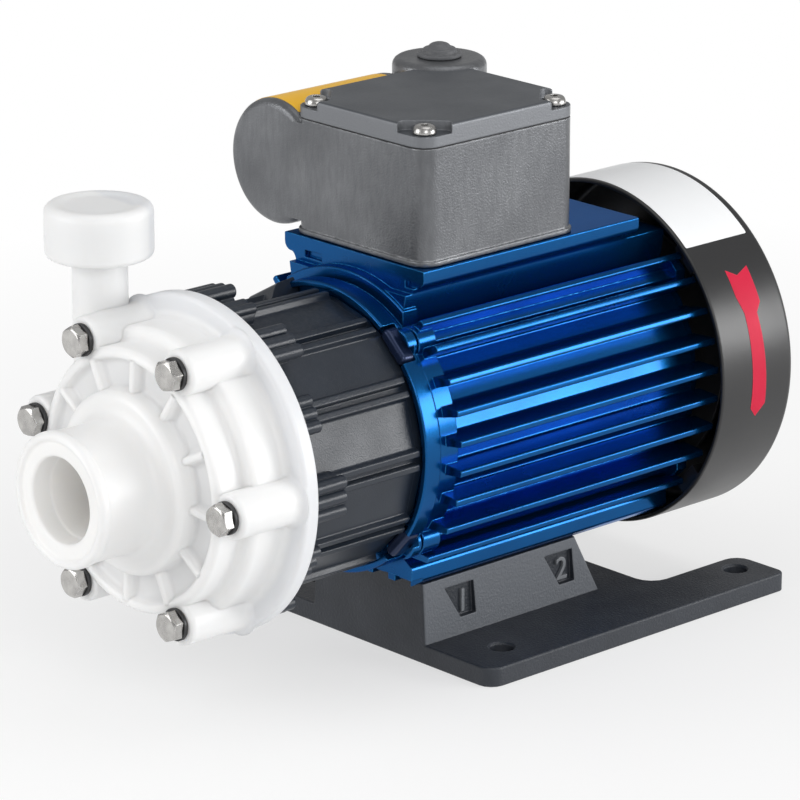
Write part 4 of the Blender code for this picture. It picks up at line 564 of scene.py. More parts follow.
# %% Painted light and other tones for some of the faces
def painted_lit_walls(parts, tone):
    """Lays another tone, as painted light, on faces that stand straight up."""
    tree = parts["tree"]
    painted(parts, spread(tree, facing(tree)["Z"], 0.75, 0.45), tone)


def painted_lit_sides(parts, tone, above, out):
    """Lays another tone, as painted light, on walls that face aside, above a height and past out."""
    tree = parts["tree"]
    aside = spread(tree, sums(tree, "ABSOLUTE", facing(tree)["X"]), 0.5, 0.85)
    x, _, z = three(tree, parts["where"])
    mask = times(tree, aside, spread(tree, z, above, above + 0.001))
    past = spread(tree, sums(tree, "ABSOLUTE", x), out, out + 0.0006)
    painted(parts, times(tree, mask, past), tone)


def streaked(parts, tone, scale, amount):
    """Lays another tone on in fine streaks that run up and down, as a blasted casting has."""
    tree = parts["tree"]
    tall = node(tree, "VectorMath", {0: parts["where"], 1: (1.0, 1.0, 0.22)},
                operation="MULTIPLY")
    lines = spread(tree, noise(tree, tall.outputs["Vector"], scale, 5.0), 0.38, 0.66)
    painted(parts, times(tree, lines, amount), tone)

# %% Paints
# Painted highlight: the enamel's light blue edge tone lies along its edges through the edge mask,
# and its wear amount sets how strong that painted highlight is.
parts = finish(
    "blue_enamel", (0.002, 0.085, 0.265), (0.001, 0.064, 0.210), 0.25, metal=0.88,
    worn_and_sheen=(0.06, 0.36, 0.74), wear=0.45, width=0.0006, cloud_size=30.0, grain_size=2600.0,
    depth=0.00006, Coat_Weight=0.18, Coat_Roughness=0.12,
    Specular_Tint=(0.30, 0.55, 1.0, 1.0))
finish(
    "tie_paint", (0.018, 0.032, 0.085), (0.012, 0.024, 0.065), 0.28, metal=0.5,
    worn_and_sheen=(0.15, 0.3, 0.6), grain=0.1, fillet=0.0003)
parts = finish(
    "foot_coat", (0.026, 0.031, 0.041), (0.019, 0.023, 0.031), 0.46, worn_and_sheen=(0.17, 0.18, 0.2),
    width=0.0007, cloud_size=70.0, grain_size=1100.0, grain=0.55, depth=0.00022,
    dust=0.04, fillet=0.0008)
# Painted light: the block's walls that face left and right are painted lighter than the plate's top,
# where the side light falls on them.
painted_lit_sides(parts, (0.112, 0.122, 0.138), 0.0068, 0.0281)
# Painted highlight: the raised mould numbers get a lighter coat than the block, for their edges that
# catch the light.
finish(
    "digit_highlight_coat", (0.190, 0.200, 0.215), (0.150, 0.160, 0.175), 0.42, worn_and_sheen=(0.3, 0.31, 0.33),
    wear=0.6, grain_size=1100.0, grain=0.3, fillet=0.0003)
finish(
    "hood_paint", (0.020, 0.020, 0.021), (0.015, 0.015, 0.016), 0.36, metal=0.1,
    worn_and_sheen=(0.12, 0.12, 0.12), wear=0.4, cloud_size=25.0, grain_size=1600.0, grain=0.1,
    dust=0.02, Coat_Weight=0.15, Coat_Roughness=0.3)
parts = finish(
    "cast_box", (0.192, 0.198, 0.208), (0.120, 0.124, 0.132), 0.34, metal=0.7,
    worn_and_sheen=(0.55, 0.56, 0.58), wear=0.6, width=0.0008, cloud_size=34.0, grain_size=1300.0,
    grain=0.4, depth=0.00018, dust=0.03, fillet=0.0009, rough_span=0.16)
streaked(parts, (0.105, 0.109, 0.117), 520.0, 0.45)
parts = finish(
    "cast_lid", (0.084, 0.092, 0.104), (0.074, 0.081, 0.092), 0.42, metal=0.4,
    worn_and_sheen=(0.36, 0.37, 0.40), width=0.0007, cloud_size=45.0, grain_size=1300.0,
    grain=0.3, depth=0.00016, dust=0.03, fillet=0.0007)
# Painted light: the lid's walls are painted lighter than its darker top, where the side light falls
# on them.
painted_lit_walls(parts, (0.178, 0.186, 0.200))

# %% Labels
finish(
    "bare_label", (0.90, 0.91, 0.92), (0.87, 0.88, 0.89), 0.32, cloud_size=30.0,
    grain_size=900.0, grain=0.06, worn_and_sheen=(0.93, 0.93, 0.93), wear=0.2, fillet=0)
finish(
    "yellow_label", (0.93, 0.52, 0.008), (0.88, 0.47, 0.006), 0.36,
    grain_size=900.0, grain=0.06, worn_and_sheen=(0.95, 0.7, 0.2), wear=0.3, fillet=0)
finish(
    "arrow_red", (0.60, 0.012, 0.050), (0.54, 0.010, 0.042), 0.5, cloud_size=60.0,
    grain_size=1200.0, grain=0.06, worn_and_sheen=(0.8, 0.25, 0.25), wear=0.2, fillet=0,
    Specular_IOR_Level=0.2)

# %% [markdown]
# ## Metals
# A metal needs more contrast than a plastic: coarse clouds of light and dark,
# a wide span of roughness, and bright worn edges. Windings and stacked sheets
# show bands, which a Wave texture gives.

# %% Plain metals
finish(
    "bright_steel", (0.56, 0.55, 0.53), (0.40, 0.39, 0.38), 0.25, metal=1.0,
    worn_and_sheen=(0.85, 0.85, 0.84), wear=0.9, width=0.0004, cloud_size=260.0, grain_size=2400.0,
    grain=0.3, depth=0.00006, fillet=0.00025, rough_span=0.14)
finish(
    "washer_steel", (0.070, 0.070, 0.072), (0.040, 0.040, 0.042), 0.40, metal=0.8,
    worn_and_sheen=(0.3, 0.3, 0.3), wear=0.35, cloud_size=200.0, grain=0.2, fillet=0.0003)
finish(
    "magnet_face", (0.20, 0.20, 0.21), (0.15, 0.15, 0.16), 0.38, metal=0.8,
    worn_and_sheen=(0.5, 0.5, 0.5), wear=0.4, grain=0.2)
finish(
    "carbon_bush", (0.030, 0.030, 0.032), (0.02, 0.02, 0.021), 0.5, metal=0.1,
    worn_and_sheen=(0.12, 0.12, 0.12), wear=0.4, grain=0.3)
finish(
    "white_ceramic", (0.82, 0.79, 0.70), (0.77, 0.74, 0.65), 0.2, worn_and_sheen=(0.9, 0.88, 0.8),
    wear=0.3, grain=0.03)
finish(
    "cast_aluminium", (0.58, 0.59, 0.60), (0.48, 0.49, 0.50), 0.36, metal=1.0,
    worn_and_sheen=(0.8, 0.8, 0.8), grain=0.25)
finish(
    "cage_brass", (0.58, 0.42, 0.16), (0.48, 0.34, 0.12), 0.32, metal=1.0,
    worn_and_sheen=(0.8, 0.65, 0.35), grain=0.1)

# %% Banded metals


def banded(parts, direction, scale, dark, strength):
    """Adds fine parallel bands to a finish, in its colour and its bump."""
    tree = parts["tree"]
    bands = node(tree, "TexWave", {"Scale": scale, "Vector": parts["where"]},
                 wave_type="BANDS", bands_direction=direction).outputs["Fac"]
    painted(parts, times(tree, bands, strength), dark)
    tree.links.new(bands, parts["bump"].inputs["Height"])


parts = finish(
    "core_sheets", (0.30, 0.30, 0.31), (0.22, 0.22, 0.23), 0.4, metal=0.9,
    worn_and_sheen=(0.5, 0.5, 0.5), wear=0.4)
banded(parts, "Y", 320.0, (0.08, 0.08, 0.085), 0.6)
parts = finish(
    "coil_copper", (0.58, 0.20, 0.07), (0.45, 0.14, 0.05), 0.34, metal=0.85,
    worn_and_sheen=(0.8, 0.4, 0.2), wear=0.3)
banded(parts, "DIAGONAL", 180.0, (0.16, 0.05, 0.02), 0.7)

# %% [markdown]
# ## The camera
# The photograph looks down a little from the front right, along the line
# that shows the nozzle, the bolts and the whole length of the fins. A long
# lens keeps the fins nearly parallel. Two points fix it: where it stands and
# what is at the middle of the picture.

# %% Camera
CAMERA_PLACE = Vector((1.15219, -1.12559, 0.58871))
CAMERA_AIM = Vector((0.01991, -0.08395, 0.09882))


def looking(name, data, place, aim):
    """A camera or lamp at a place, turned toward its aim."""
    thing = linked(name, data)
    thing.location = place
    thing.rotation_euler = (Vector(aim) - Vector(place)).to_track_quat("-Z", "Y").to_euler()
    return thing


eye = bpy.data.cameras.new("eye")
eye.sensor_width = 36.0
eye.lens = 203.0
eye.clip_start = 0.05
bpy.context.scene.camera = looking("eye", eye, CAMERA_PLACE, CAMERA_AIM)
print("camera stands", round((CAMERA_PLACE - CAMERA_AIM).length, 3), "m away")

# %% [markdown]
# ## The casing's front
# The casing is one moulding: a suction nozzle, a collar round it, twelve ribs
# over sunken panels, a round rim, a drum and a flat disc that carries six
# bolt bosses. It takes the most care of all pieces. The turned part is one
# section, and the bosses, ribs and outlet neck are welded on with their own
# draft and fillets.

# %% Casing section
BOLT_DEGS = (0, 60, 118, 168, 237, 298)
BOLT_R = 52.0
BOLT_HOLE_R = 3.2
casing_section = [
    (15.5, -25.1, 0.9), (20.9, -25.1, 0.4), (21.6, -26.3, 0.5), (24.4, -26.3, 1.9),
    (24.4, -22.7, 0.4), (23.7, -22.2, 0.4), (23.7, 0.6, 5.0), (32.8, 0.6, 2.8),
    (33.2, 8.5, 1.6), (43.0, 8.5, 1.8), (43.9, 5.2, 1.0), (47.6, 5.2, 2.4),
    (47.6, 16.6, 2.0), (52.6, 17.0, 3.0), (52.6, 32.5, 3.0), (61.4, 32.5, 1.7),
    (61.4, 38.7, 0.5), (47.0, 38.7), (47.0, 33.0), (43.0, 33.0),
    (43.0, 12.8, 1.5), (14.8, 12.8, 0.8), (14.8, -17.5, 0.2), (15.3, -17.5, 0.2),
]
casing = turned(casing_section, sides=144)
print("casing section points", len(casing_section))

# %% Bosses with a flared root


def boss():
    """One bolt boss, whose root flares out on the disc."""
    section = [(0, 6.0), (8.2, 6.0, 1.6), (8.2, 28.6), (8.4, 30.2), (8.9, 31.4), (9.7, 32.2),
               (10.8, 32.7), (10.8, 33.4), (0, 33.4)]
    return slid(turned(section, sides=48), BOLT_R, 0, 0)


casing = each(weld, casing, boss, BOLT_DEGS)
print("bosses on a circle of", 2 * BOLT_R, "mm")

# %% Ribs with draft
RIB_START_R = 30.4
RIB_LONG = 14.2


def rib():
    """One rib, whose sides lean out toward its foot."""
    section = [(-3.4, 9.2), (-3.4, 8.6), (-1.7, 7.9, 1.2), (-1.15, 4.6, 0.9), (1.15, 4.6, 0.9),
               (1.7, 7.9, 1.2), (3.4, 8.6), (3.4, 9.2)]
    return pulled(wire(section, lambda u, v: (RIB_START_R, v, u)), (RIB_LONG, 0, 0))


casing = weld(casing, copies(rib, range(-4, 356, 30)))
print("ribs from radius", RIB_START_R, "to", RIB_START_R + RIB_LONG)

# %% Outlet neck and spigot
NECK = (-35.6, 22.8)
neck_section = [(0, 30.0), (9.9, 30.0), (9.9, 70.4, 1.6), (15.2, 73.6, 0.5), (15.2, 83.2, 0.7),
                (0, 83.2)]
casing = weld(casing, turned(neck_section, "Z", 64, NECK))
casing = cut(casing, bar(6.0, 15.0, 84.0, "Z", NECK, sides=32))
casing = cut(casing, turned([(0, 12.9), (42.9, 12.9), (42.9, 33.8), (0, 33.8)], sides=144))
casing = each(cut, casing, lambda: bar(BOLT_HOLE_R, 5.0, 39.5, "Y", (BOLT_R, 0), sides=24),
              BOLT_DEGS)
placed("pump_casing", casing, "white_moulding", ["front_casing"])

# %% [markdown]
# ## The outlet cap
# A moulded cap screws over the outlet spigot. Its top has a shallow dish
# inside a soft rim. It is turned in one section that starts and ends on its
# axis, so the shell is closed with its own thickness.

# %% Cap
cap_section = [
    (0, 88.9), (12.6, 88.9, 1.6), (14.6, 89.7, 1.2), (19.3, 89.7, 3.0), (19.3, 70.6, 2.4),
    (16.0, 70.6, 0.4), (16.0, 85.6, 0.5), (0, 85.6),
]
placed("outlet_cap", turned(cap_section, "Z", 128, NECK), "white_moulding",
       ["discharge_cap"], body="cap")

# %% [markdown]
# ## Bolts and spring washers
# The six bright bolts have a chamfered hexagon. The chamfer is a cone that
# meets six flats, which leaves the curved arcs that one sees on every real
# bolt, so the head is what a hexagon bar and a turned cone share. Under each
# is a dark spring washer, split at an angle.

# %% Bolts
BOLT_TURNS = (12, 41, 5, 33, 22, 52)
HEX_CORNER_R = 5.7735
HEAD_HIGH = 4.0


def hexagon(radius, high):
    """A six-sided bar that stands on the Z axis, halfway through the floor."""
    bm = bmesh.new()
    bmesh.ops.create_cone(bm, cap_ends=True, segments=6, radius1=radius, radius2=radius,
                          depth=high)
    return bm


def bolt_head():
    """A hexagon with a turned crown."""
    bm = hexagon(HEX_CORNER_R, HEAD_HIGH)
    bmesh.ops.rotate(bm, cent=(0, 0, 0), matrix=Matrix.Rotation(math.pi / 2, 3, "X"),
                     verts=bm.verts[:])
    slid(bm, 0, HEAD_HIGH / 2, 0)
    cone = turned([(0, 0.0), (4.5, 0.0, 0.7), (5.0, 0.35, 0.3), (5.9, 1.0), (5.9, 4.1), (0, 4.1)],
                  sides=72)
    return shaped(bm, cone, "INTERSECT")


def thread_bar():
    """The plain shank and its end, with a row of round grooves for the thread."""
    pitch, crest, root = 1.25, 2.8, 2.45
    section = [(0, 3.0), (crest, 3.0)]
    for count in range(10):
        section += [(crest, 38.0 + pitch * count), (root, 38.6 + pitch * count)]
    return turned(section + [(crest, 51.2, 0.5), (2.2, 52.0), (0, 52.0)], sides=32)


for number, (angle, turn) in enumerate(zip(BOLT_DEGS, BOLT_TURNS), 1):
    bolt = spun(weld(bolt_head(), thread_bar()), turn)
    x, z = on_circle(BOLT_R, angle)
    placed(f"hex_bolt_{number}", slid(bolt, x, 0, z), "bright_steel",
           [f"casing_bolt_{number}"])

# %% Spring washers
for number, (angle, turn) in enumerate(zip(BOLT_DEGS, BOLT_TURNS), 1):
    ring = turned([(3.0, 4.2, 0.2), (5.9, 4.2, 0.3), (5.9, 5.8, 0.3), (3.0, 5.8, 0.2)], sides=64)
    slit = spun(block((2.0, 7.5), (3.9, 6.1), (-0.35, 0.35)), 25, "X")
    slid(slit, 0, 0.4, -2.3)
    ring = spun(cut(ring, slit), 150 + turn)
    x, z = on_circle(BOLT_R, angle)
    placed(f"spring_washer_{number}", slid(ring, x, 0, z), "washer_steel",
           [f"lock_washer_{number}"])

# %% [markdown]
# ## The lantern between pump and motor
# The slate grey lantern carries the pump on the motor and hides the turning
# magnets. Twelve pairs of ridges run along it, and behind the disc each bolt
# has a stepped lug with grooves. The ridges are part of one outline that is
# pushed along the shaft, as the mould for it would be cut.

# %% Lantern outline
RIDGES = [(-4.3, 49.1, 0.4), (-3.8, 51.5, 0.5), (-1.4, 51.5, 0.5), (-1.0, 49.0, 0.3),
          (1.0, 49.0, 0.3), (1.4, 51.5, 0.5), (3.8, 51.5, 0.5), (4.3, 49.1, 0.4)]
FACETS = [(-4.3, 48.9, 0.4), (4.3, 48.9, 0.4)]


def lantern_outline(group):
    """Twelve copies of a group of (aside, radius, round) points, as (x, z)."""
    points = []
    for count in range(12):
        turn = math.radians(30 * count)
        for aside, radius, size in group:
            u = radius * math.cos(turn) - aside * math.sin(turn)
            v = radius * math.sin(turn) + aside * math.cos(turn)
            points.append((u, v, size))
    return points


lantern = pushed(lantern_outline(RIDGES), 41.0, 95.0, "Y", rim=0.4, rims="high", steps=2)
collar = turned([(43.0, 38.9, 0.3), (56.0, 38.9, 0.4), (56.0, 41.9, 0.8), (43.0, 41.9)], sides=144)
neck = pushed(lantern_outline(FACETS), 90.0, 98.3, "Y", rim=0.5, rims="high")
lantern = weld(lantern, collar, neck)


def shoulder():
    """The ramp at the lantern's rear end that meets a tie bolt's boss."""
    outline = [(84.0, 45.0), (84.6, 48.0), (89.4, 53.6, 1.2), (98.2, 54.4, 0.6), (98.2, 45.0)]
    wide = 17.0
    return pulled(wire(outline, lambda along, out: (out, along, -wide / 2)), (0, 0, wide))


lantern = weld(lantern, spun(shoulder(), 119))

# %% Lantern lugs
between = [(a + b) / 2 for a, b in zip(BOLT_DEGS, BOLT_DEGS[1:] + (360,))]
TALL_DEG = 101
STEP_DEG = 85


def lug(core, reach, high, bars):
    """A round core with (aside, size) bars along its outside."""
    whole = slid(bar(core, 39.2, high - 0.6, rim=0.6), 51.4, 0, 0)
    for aside, size in bars:
        inward = aside * aside / (2 * reach)
        whole = weld(whole, slid(bar(size, 39.2, high, rim=0.6, sides=32),
                                 reach - size - inward, 0, aside))
    return whole


def bolt_lug():
    return lug(5.6, 59.2, 54.1, ((3.0, 2.5), (-2.1, 2.7), (-7.0, 2.5)))


def low_lug():
    return lug(3.4, 55.6, 50.0, ((4.2, 2.4), (-0.4, 2.4), (-5.0, 2.4)))


lantern = each(weld, lantern, bolt_lug, BOLT_DEGS)
lantern = each(weld, lantern, low_lug, [angle for angle in between if abs(angle - STEP_DEG) > 5])
lantern = weld(lantern, spun(lug(7.2, 60.0, 58.4, ((4.9, 2.6), (0, 2.6), (-4.9, 2.6))), TALL_DEG),
               spun(lug(4.2, 56.4, 57.0, ((2.4, 2.1), (-2.2, 2.1))), STEP_DEG))
lantern = cut(lantern, bar(44.0, 38.0, 99.5, sides=128))
lantern = each(cut, lantern, lambda: bar(BOLT_HOLE_R, 38.0, 52.3, "Y", (BOLT_R, 0), sides=24),
               BOLT_DEGS)
placed("lantern", lantern, "slate_moulding", ["bracket"])

# %% [markdown]
# ## The motor's front ring
# The motor's front shield shows as a narrow glossy ring with two steps. Four
# tie bolts pass through it, each in a pocket on the rim. It is turned in one
# section with its bearing seat, then lugs are welded on and the pockets cut.

# %% Front ring
TIE_R = 51.5
TIE_DEGS = (47, 137, 227, 317)
ring_section = [
    (9.2, 98.7), (51.4, 98.7), (51.4, 95.7, 0.4), (53.8, 95.7, 0.8), (53.8, 103.2, 0.7),
    (50.6, 103.3), (50.6, 103.9), (43.7, 103.9), (43.7, 113.2, 0.4), (40.7, 113.2),
    (40.7, 103.7, 1.2), (22.0, 103.7, 1.0), (22.0, 111.8, 0.4), (17.9, 111.8), (17.9, 100.6),
    (9.2, 100.6),
]
front_ring = turned(ring_section, sides=144)
for angle in TIE_DEGS:
    lug_bar = slid(bar(6.0, 98.9, 103.3, rim=0.4, sides=40), TIE_R, 0, 0)
    pocket = pushed([(47.4, -8.0, 2.6), (56.0, -8.0, 1.0), (56.0, 8.0, 1.0), (47.4, 8.0, 2.6)],
                    94.9, 101.8, "Y")
    hole = slid(bar(2.4, 98.0, 114.0, sides=24), TIE_R, 0, 0)
    front_ring = cut(weld(front_ring, spun(lug_bar, angle)), spun(pocket, angle),
                     spun(hole, angle))
placed("front_ring", front_ring, "blue_enamel", ["front_shield"])

# %% Tie bolts


def tie_bolt():
    """A rod with a long, round-ended head that lies across the pocket."""
    head = [(48.5, -7.3, 2.2), (53.4, -7.3, 2.2), (53.4, 7.3, 2.2), (48.5, 7.3, 2.2)]
    rod = turned([(0, 100.0), (2.0, 100.0), (2.0, 238.0, 0.4), (0, 238.0)], sides=40)
    return weld(slid(rod, TIE_R, 0, 0), pushed(head, 96.6, 101.8, "Y", rim=1.6, rims="low", steps=4))


for number, angle in enumerate(TIE_DEGS, 1):
    placed(f"tie_rod_{number}", spun(tie_bolt(), angle), "tie_paint",
           [f"tie_bolt_{number}"])

# %% [markdown]
# ## The finned motor frame
# The frame is an aluminium extrusion: nine fins on each side, a deck on top
# for the box and a foot below. An extruded part is one outline pushed along
# the shaft, so it is modelled that way, with round fin tips and soft roots.
# Then it is bored for the stator and machined at both ends.

# %% Frame outline
FIN_TIPS = (-44.5, -28.5, -16.5, -5.5, 5.0, 15.5, 26.5, 38.5, 49.0)
FIN_LEANS = (-4.0, -2.0, 0.0, 1.0, 4.0, 8.5, 15.0, 25.0, 45.0)


def frame_outline():
    """The right half from the foot up to the deck, and its mirror image."""
    half = [(28.5, -57.4, 1.0), (34.5, -53.5, 0.8), (34.5, -47.8, 1.2)]
    for tip_angle, lean in zip(FIN_TIPS, FIN_LEANS):
        turn, tilt = math.radians(tip_angle), math.radians(lean)
        tip = 60.4 * Vector((math.cos(turn), math.sin(turn)))
        out = Vector((math.cos(tilt), math.sin(tilt)))
        side = Vector((-out.y, out.x))
        ahead = tip.dot(out)
        root = tip + out * (math.sqrt(ahead ** 2 - 60.4 ** 2 + 50.0 ** 2) - ahead)
        for spot, aside, size in ((root, -2.1, 0.8), (tip, -1.2, 0.7), (tip, 1.2, 0.7),
                                  (root, 2.1, 0.8)):
            half.append((*(spot + aside * side), size))
    half += [(28.9, 40.8, 0.8), (31.2, 54.6, 1.2), (32.8, 56.2, 0.5), (37.0, 56.2, 3.2),
             (37.0, 62.8, 0.5)]
    return half + [(-point[0], *point[1:]) for point in reversed(half)]


FRAME_START, FRAME_END = 106.8, 237.4
BAND_END = 112.8
STATOR_R = 44.0
TIE_HOLE_R = 2.4
body = pushed(frame_outline(), FRAME_START, FRAME_END, "Y", rim=0.3, rims="low", steps=1)
print("frame outline points", len(frame_outline()))

# %% Front band, bore and machined ends
body = cut(body, block((-38, 38), (106.0, 110.0), (53.4, 64.0)))
arch = shaped(bar(57.0, 105.6, 112.6, rim=0.6, sides=144),
              block((-31.0, 31.0), (104.0, 114.0), (30.0, 60.0)), "INTERSECT")
band = bar(52.3, 104.0, BAND_END, rim=0.5, sides=144)
body = weld(body, band, arch)
for angle in TIE_DEGS:
    pad = pushed([(47.5, -4.2), (54.2, -3.5, 0.7), (54.2, 3.5, 0.7), (47.5, 4.2)], 112.0, 236.0, "Y")
    ear = slid(bar(5.6, 104.4, BAND_END, rim=0.5, sides=32), TIE_R, 0, 0)
    body = weld(body, spun(ear, angle), spun(pad, angle))
body = cut(body, bar(STATOR_R, 103.0, 239.0, sides=128), bar(50.5, 234.0, 239.0, sides=128))
body = each(cut, body, lambda: bar(TIE_HOLE_R, 103.0, 235.0, "Y", (TIE_R, 0), sides=20), TIE_DEGS)
body = cut(body, block((-38, 38), (217.6, 239.0), (53.8, 64.0)),
           block((-38, 38), (106.0, 112.0), (-60.0, -52.6)))
for x in (-24.0, -12.0, 0.0, 12.0, 24.0):
    body = cut(body, block((x - 4.2, x + 4.2), (105.0, 119.0), (-60.0, -52.4)))
body = cut(body, bar(6.0, 42.0, 64.0, "Z", (0, 150.0), sides=40))
FOOT_SPOTS = [(x, y) for x in (-18.5, 18.5) for y in (133.0, 180.0)]
FOOT_HOLE_R = 2.9
for spot in FOOT_SPOTS:
    body = cut(body, bar(FOOT_HOLE_R, -58.5, -51.4, "Z", spot, sides=24))

# %% Notches under the deck's front edge
for low, high in ((-26.0, -17.0), (27.3, 35.2)):
    body = cut(body, block((low, high), (109.0, 111.6), (55.4, 58.0)))
placed("finned_frame", body, "blue_enamel", ["motor_frame"])

# %% [markdown]
# ## The fan and its hood
# A black pressed hood covers the fan. Its rear plate has two rings of slots
# for the air. The hood is turned as a thin shell, and the slots are cut with
# round-ended bars. A bare white label wraps over its top, with a narrow black
# margin, and a red arrow shows which way the motor turns.

# %% Hood
hood_section = [
    (64.9, 233.6, 0.3), (66.1, 233.6, 0.3), (66.4, 234.2, 0.3), (66.4, 271.8, 2.7),
    (6.0, 271.8, 0.5), (5.2, 271.3, 0.3), (0, 271.3), (0, 270.2), (63.5, 270.3, 1.2),
    (64.9, 268.9, 1.0),
]
hood = turned(hood_section, sides=192)


def grille_slot(low, high):
    outline = [(low, -1.7, 1.5), (high, -1.7, 1.5), (high, 1.7, 1.5), (low, 1.7, 1.5)]
    return pushed(outline, 269.0, 273.0, "Y")


for start in range(16):
    angle = 22.5 * start
    hood = cut(hood, spun(grille_slot(14.0, 25.0), angle), spun(grille_slot(28.0, 38.5), angle))


def hood_pad():
    outline = [(58.1, -6.0), (65.4, -6.0), (65.4, 6.0), (58.1, 6.0)]
    return pushed(outline, 238.6, 243.6, "Y")


hood = weld(hood, copies(hood_pad, TIE_DEGS))
placed("fan_hood", hood, "hood_paint", ["fan_cover"])

# %% Plates that wrap round a drum


def wrapped(points, radius, thick, steps=40):
    """A plate of (arc, station) points with a small thickness, bent round the Y axis."""
    bm = wire(points, lambda u, v: (u, v, 0))
    bmesh.ops.contextual_create(bm, geom=bm.edges[:])
    arcs = [point[0] for point in points]
    for step in range(1, steps):
        spot = min(arcs) + (max(arcs) - min(arcs)) * step / steps
        bmesh.ops.bisect_plane(bm, geom=bm.verts[:] + bm.edges[:] + bm.faces[:], dist=NEAR,
                               plane_co=(spot, 0, 0), plane_no=(1, 0, 0))
    thickened(bm, (0, 0, thick))
    for vert in bm.verts:
        turn, out = vert.co.x / radius, radius + vert.co.z
        vert.co.x, vert.co.z = out * math.cos(turn), out * math.sin(turn)
    bmesh.ops.recalc_face_normals(bm, faces=bm.faces[:])
    return bm


# %% Hood label and arrow
HOOD_R = 66.4
PRINT_THICK = 0.12
label_outline = [(55.4, 235.0, 0.6), (140.0, 235.0, 0.6), (140.0, 267.2, 0.6), (55.4, 267.2, 0.6)]
placed("hood_label", wrapped(label_outline, HOOD_R, PRINT_THICK, 64), "bare_label")
arrow_outline = [
    (43.1, 247.2), (40.2, 252.0), (42.9, 258.6), (28.6, 258.6), (24.9, 255.6), (-10.2, 256.9),
    (-14.7, 252.6), (-11.0, 249.4), (25.6, 249.2), (32.5, 247.3),
]
placed("turning_arrow", wrapped(arrow_outline, HOOD_R, PRINT_THICK, 48), "arrow_red")

# %% Fan wheel
hub_section = [(6.1, 250.0), (50.0, 250.0, 0.4), (50.0, 251.6, 0.4), (11.0, 251.6, 1.4),
               (10.4, 260.5, 0.6), (6.1, 260.5)]
fan_wheel = turned(hub_section)


def blade():
    outline = [(9.6, 250.8), (49.2, 250.8), (46.6, 259.6, 1.5), (9.6, 259.6)]
    return pushed(outline, -0.9, 0.9, "Z", rim=0.4)


BLADES = 7
fan_wheel = each(weld, fan_wheel, blade, [360 * count / BLADES for count in range(BLADES)])
placed("fan_wheel", fan_wheel, "fan_moulding", ["cooling_fan"], body="rotor")

# %% [markdown]
# ## The foot plate
# The pump stands on one moulded plate with a raised block under the motor's
# foot. Four holes take the anchor bolts, and the rear is cut out between two
# legs. Shallow pockets on the block's sides each hold a plain mould number.
# The outline carries the corner radii, and only the upper rim is softened.

# %% Plate
plate_outline = [
    (65.0, 117.0, 6.0), (65.0, 272.0, 3.5), (39.5, 272.0, 7.0), (39.5, 225.0, 8.0),
    (-39.5, 225.0, 8.0), (-39.5, 272.0, 7.0), (-65.0, 272.0, 3.5), (-65.0, 117.0, 6.0),
]
foot = pushed(plate_outline, 0.0, 7.2, "Z", rim=0.8, rims="high")

# %% Raised block
PEDESTAL_TOP = 30.3
riser = bmesh.new()
bmesh.ops.create_cube(riser, size=1)
for vert in riser.verts:
    upper = vert.co.z > 0
    rear = vert.co.y > 0
    half = 29.3 if upper else 30.6
    vert.co.x = math.copysign(half, vert.co.x)
    vert.co.y = (194.5 if upper else 206.6) if rear else 117.0
    vert.co.z = PEDESTAL_TOP if upper else 6.0
sides = [e for e in riser.edges if abs(e.verts[0].co.z - e.verts[1].co.z) > 1]
softened(riser, sides, 1.0)
foot = weld(foot, riser)
print("block top at", PEDESTAL_TOP)

# %% Holes, hollow and pockets
for x in (-50.0, 50.0):
    for y in (136.8, 259.9):
        hole = turned([(0, -1.0), (4.5, -1.0), (4.5, 6.5), (5.5, 7.5), (5.5, 8.5), (0, 8.5)], "Z",
                      48, (x, y))
        foot = cut(foot, hole)
hollow = [(-23.3, 123.0, 2.0), (23.3, 123.0, 2.0), (23.3, 188.5, 2.0), (-23.3, 188.5, 2.0)]
foot = cut(foot, pushed(hollow, -1.0, 22.3, "Z"))
for spot in FOOT_SPOTS:
    foot = cut(foot, bar(FOOT_HOLE_R, 21.0, 31.5, "Z", spot, sides=24))
for side in (-1, 1):
    for y in (127.5, 178.0):
        outline = [(y, 26.3, 0.4), (y + 14.5, 26.3, 0.4), (y + 15.3, 13.7, 0.4),
                   (y + 7.5, 13.7, 0.4)]
        low, high = sorted((side * 27.9, side * 33.0))
        foot = cut(foot, pushed(outline, low, high, "X"))
placed("foot_plate", foot, "foot_coat", ["base"], FLOOR)

# %% Mould numbers


def mould_number(text, y, side):
    """A raised digit that lies in a pocket of the block."""
    words = bpy.data.curves.new("digit", "FONT")
    words.body = text
    words.size = 12.5
    words.extrude = 0.6
    words.bevel_depth = 0.12
    words.align_x = "CENTER"
    holder = linked("digit", words)
    bm = opened(frozen(holder))
    bpy.data.objects.remove(holder)
    bmesh.ops.remove_doubles(bm, verts=bm.verts[:], dist=NEAR)
    stand = Matrix.Rotation(math.radians(90), 4, "Z") @ Matrix.Rotation(math.radians(90), 4, "X")
    if side < 0:
        stand = Matrix.Rotation(math.pi, 4, "Z") @ stand
    bmesh.ops.transform(bm, matrix=stand, verts=bm.verts[:])
    return slid(bm, side * 28.3, y, 15.2)


for side, tag in ((1, "right"), (-1, "left")):
    for text, y in (("1", 137.3), ("2", 187.8)):
        placed(f"mould_number_{text}_{tag}", mould_number(text, y, side), "digit_highlight_coat",
               (), FLOOR)

# %% [markdown]
# ## The terminal box
# The die-cast box holds the terminals and, in the drum on its side, the
# capacitor. A round tower at the rear corner takes the cable. The three are
# one casting, and box and drum share a front face, so they are welded here
# and the hollow is cut afterwards.

# %% Box body
BOX_TOP = 193.6
LID_LOW = 194.1


def rounded_plan(half, low, high, size):
    return [(half, low, size), (half, high, size), (-half, high, size), (-half, low, size)]


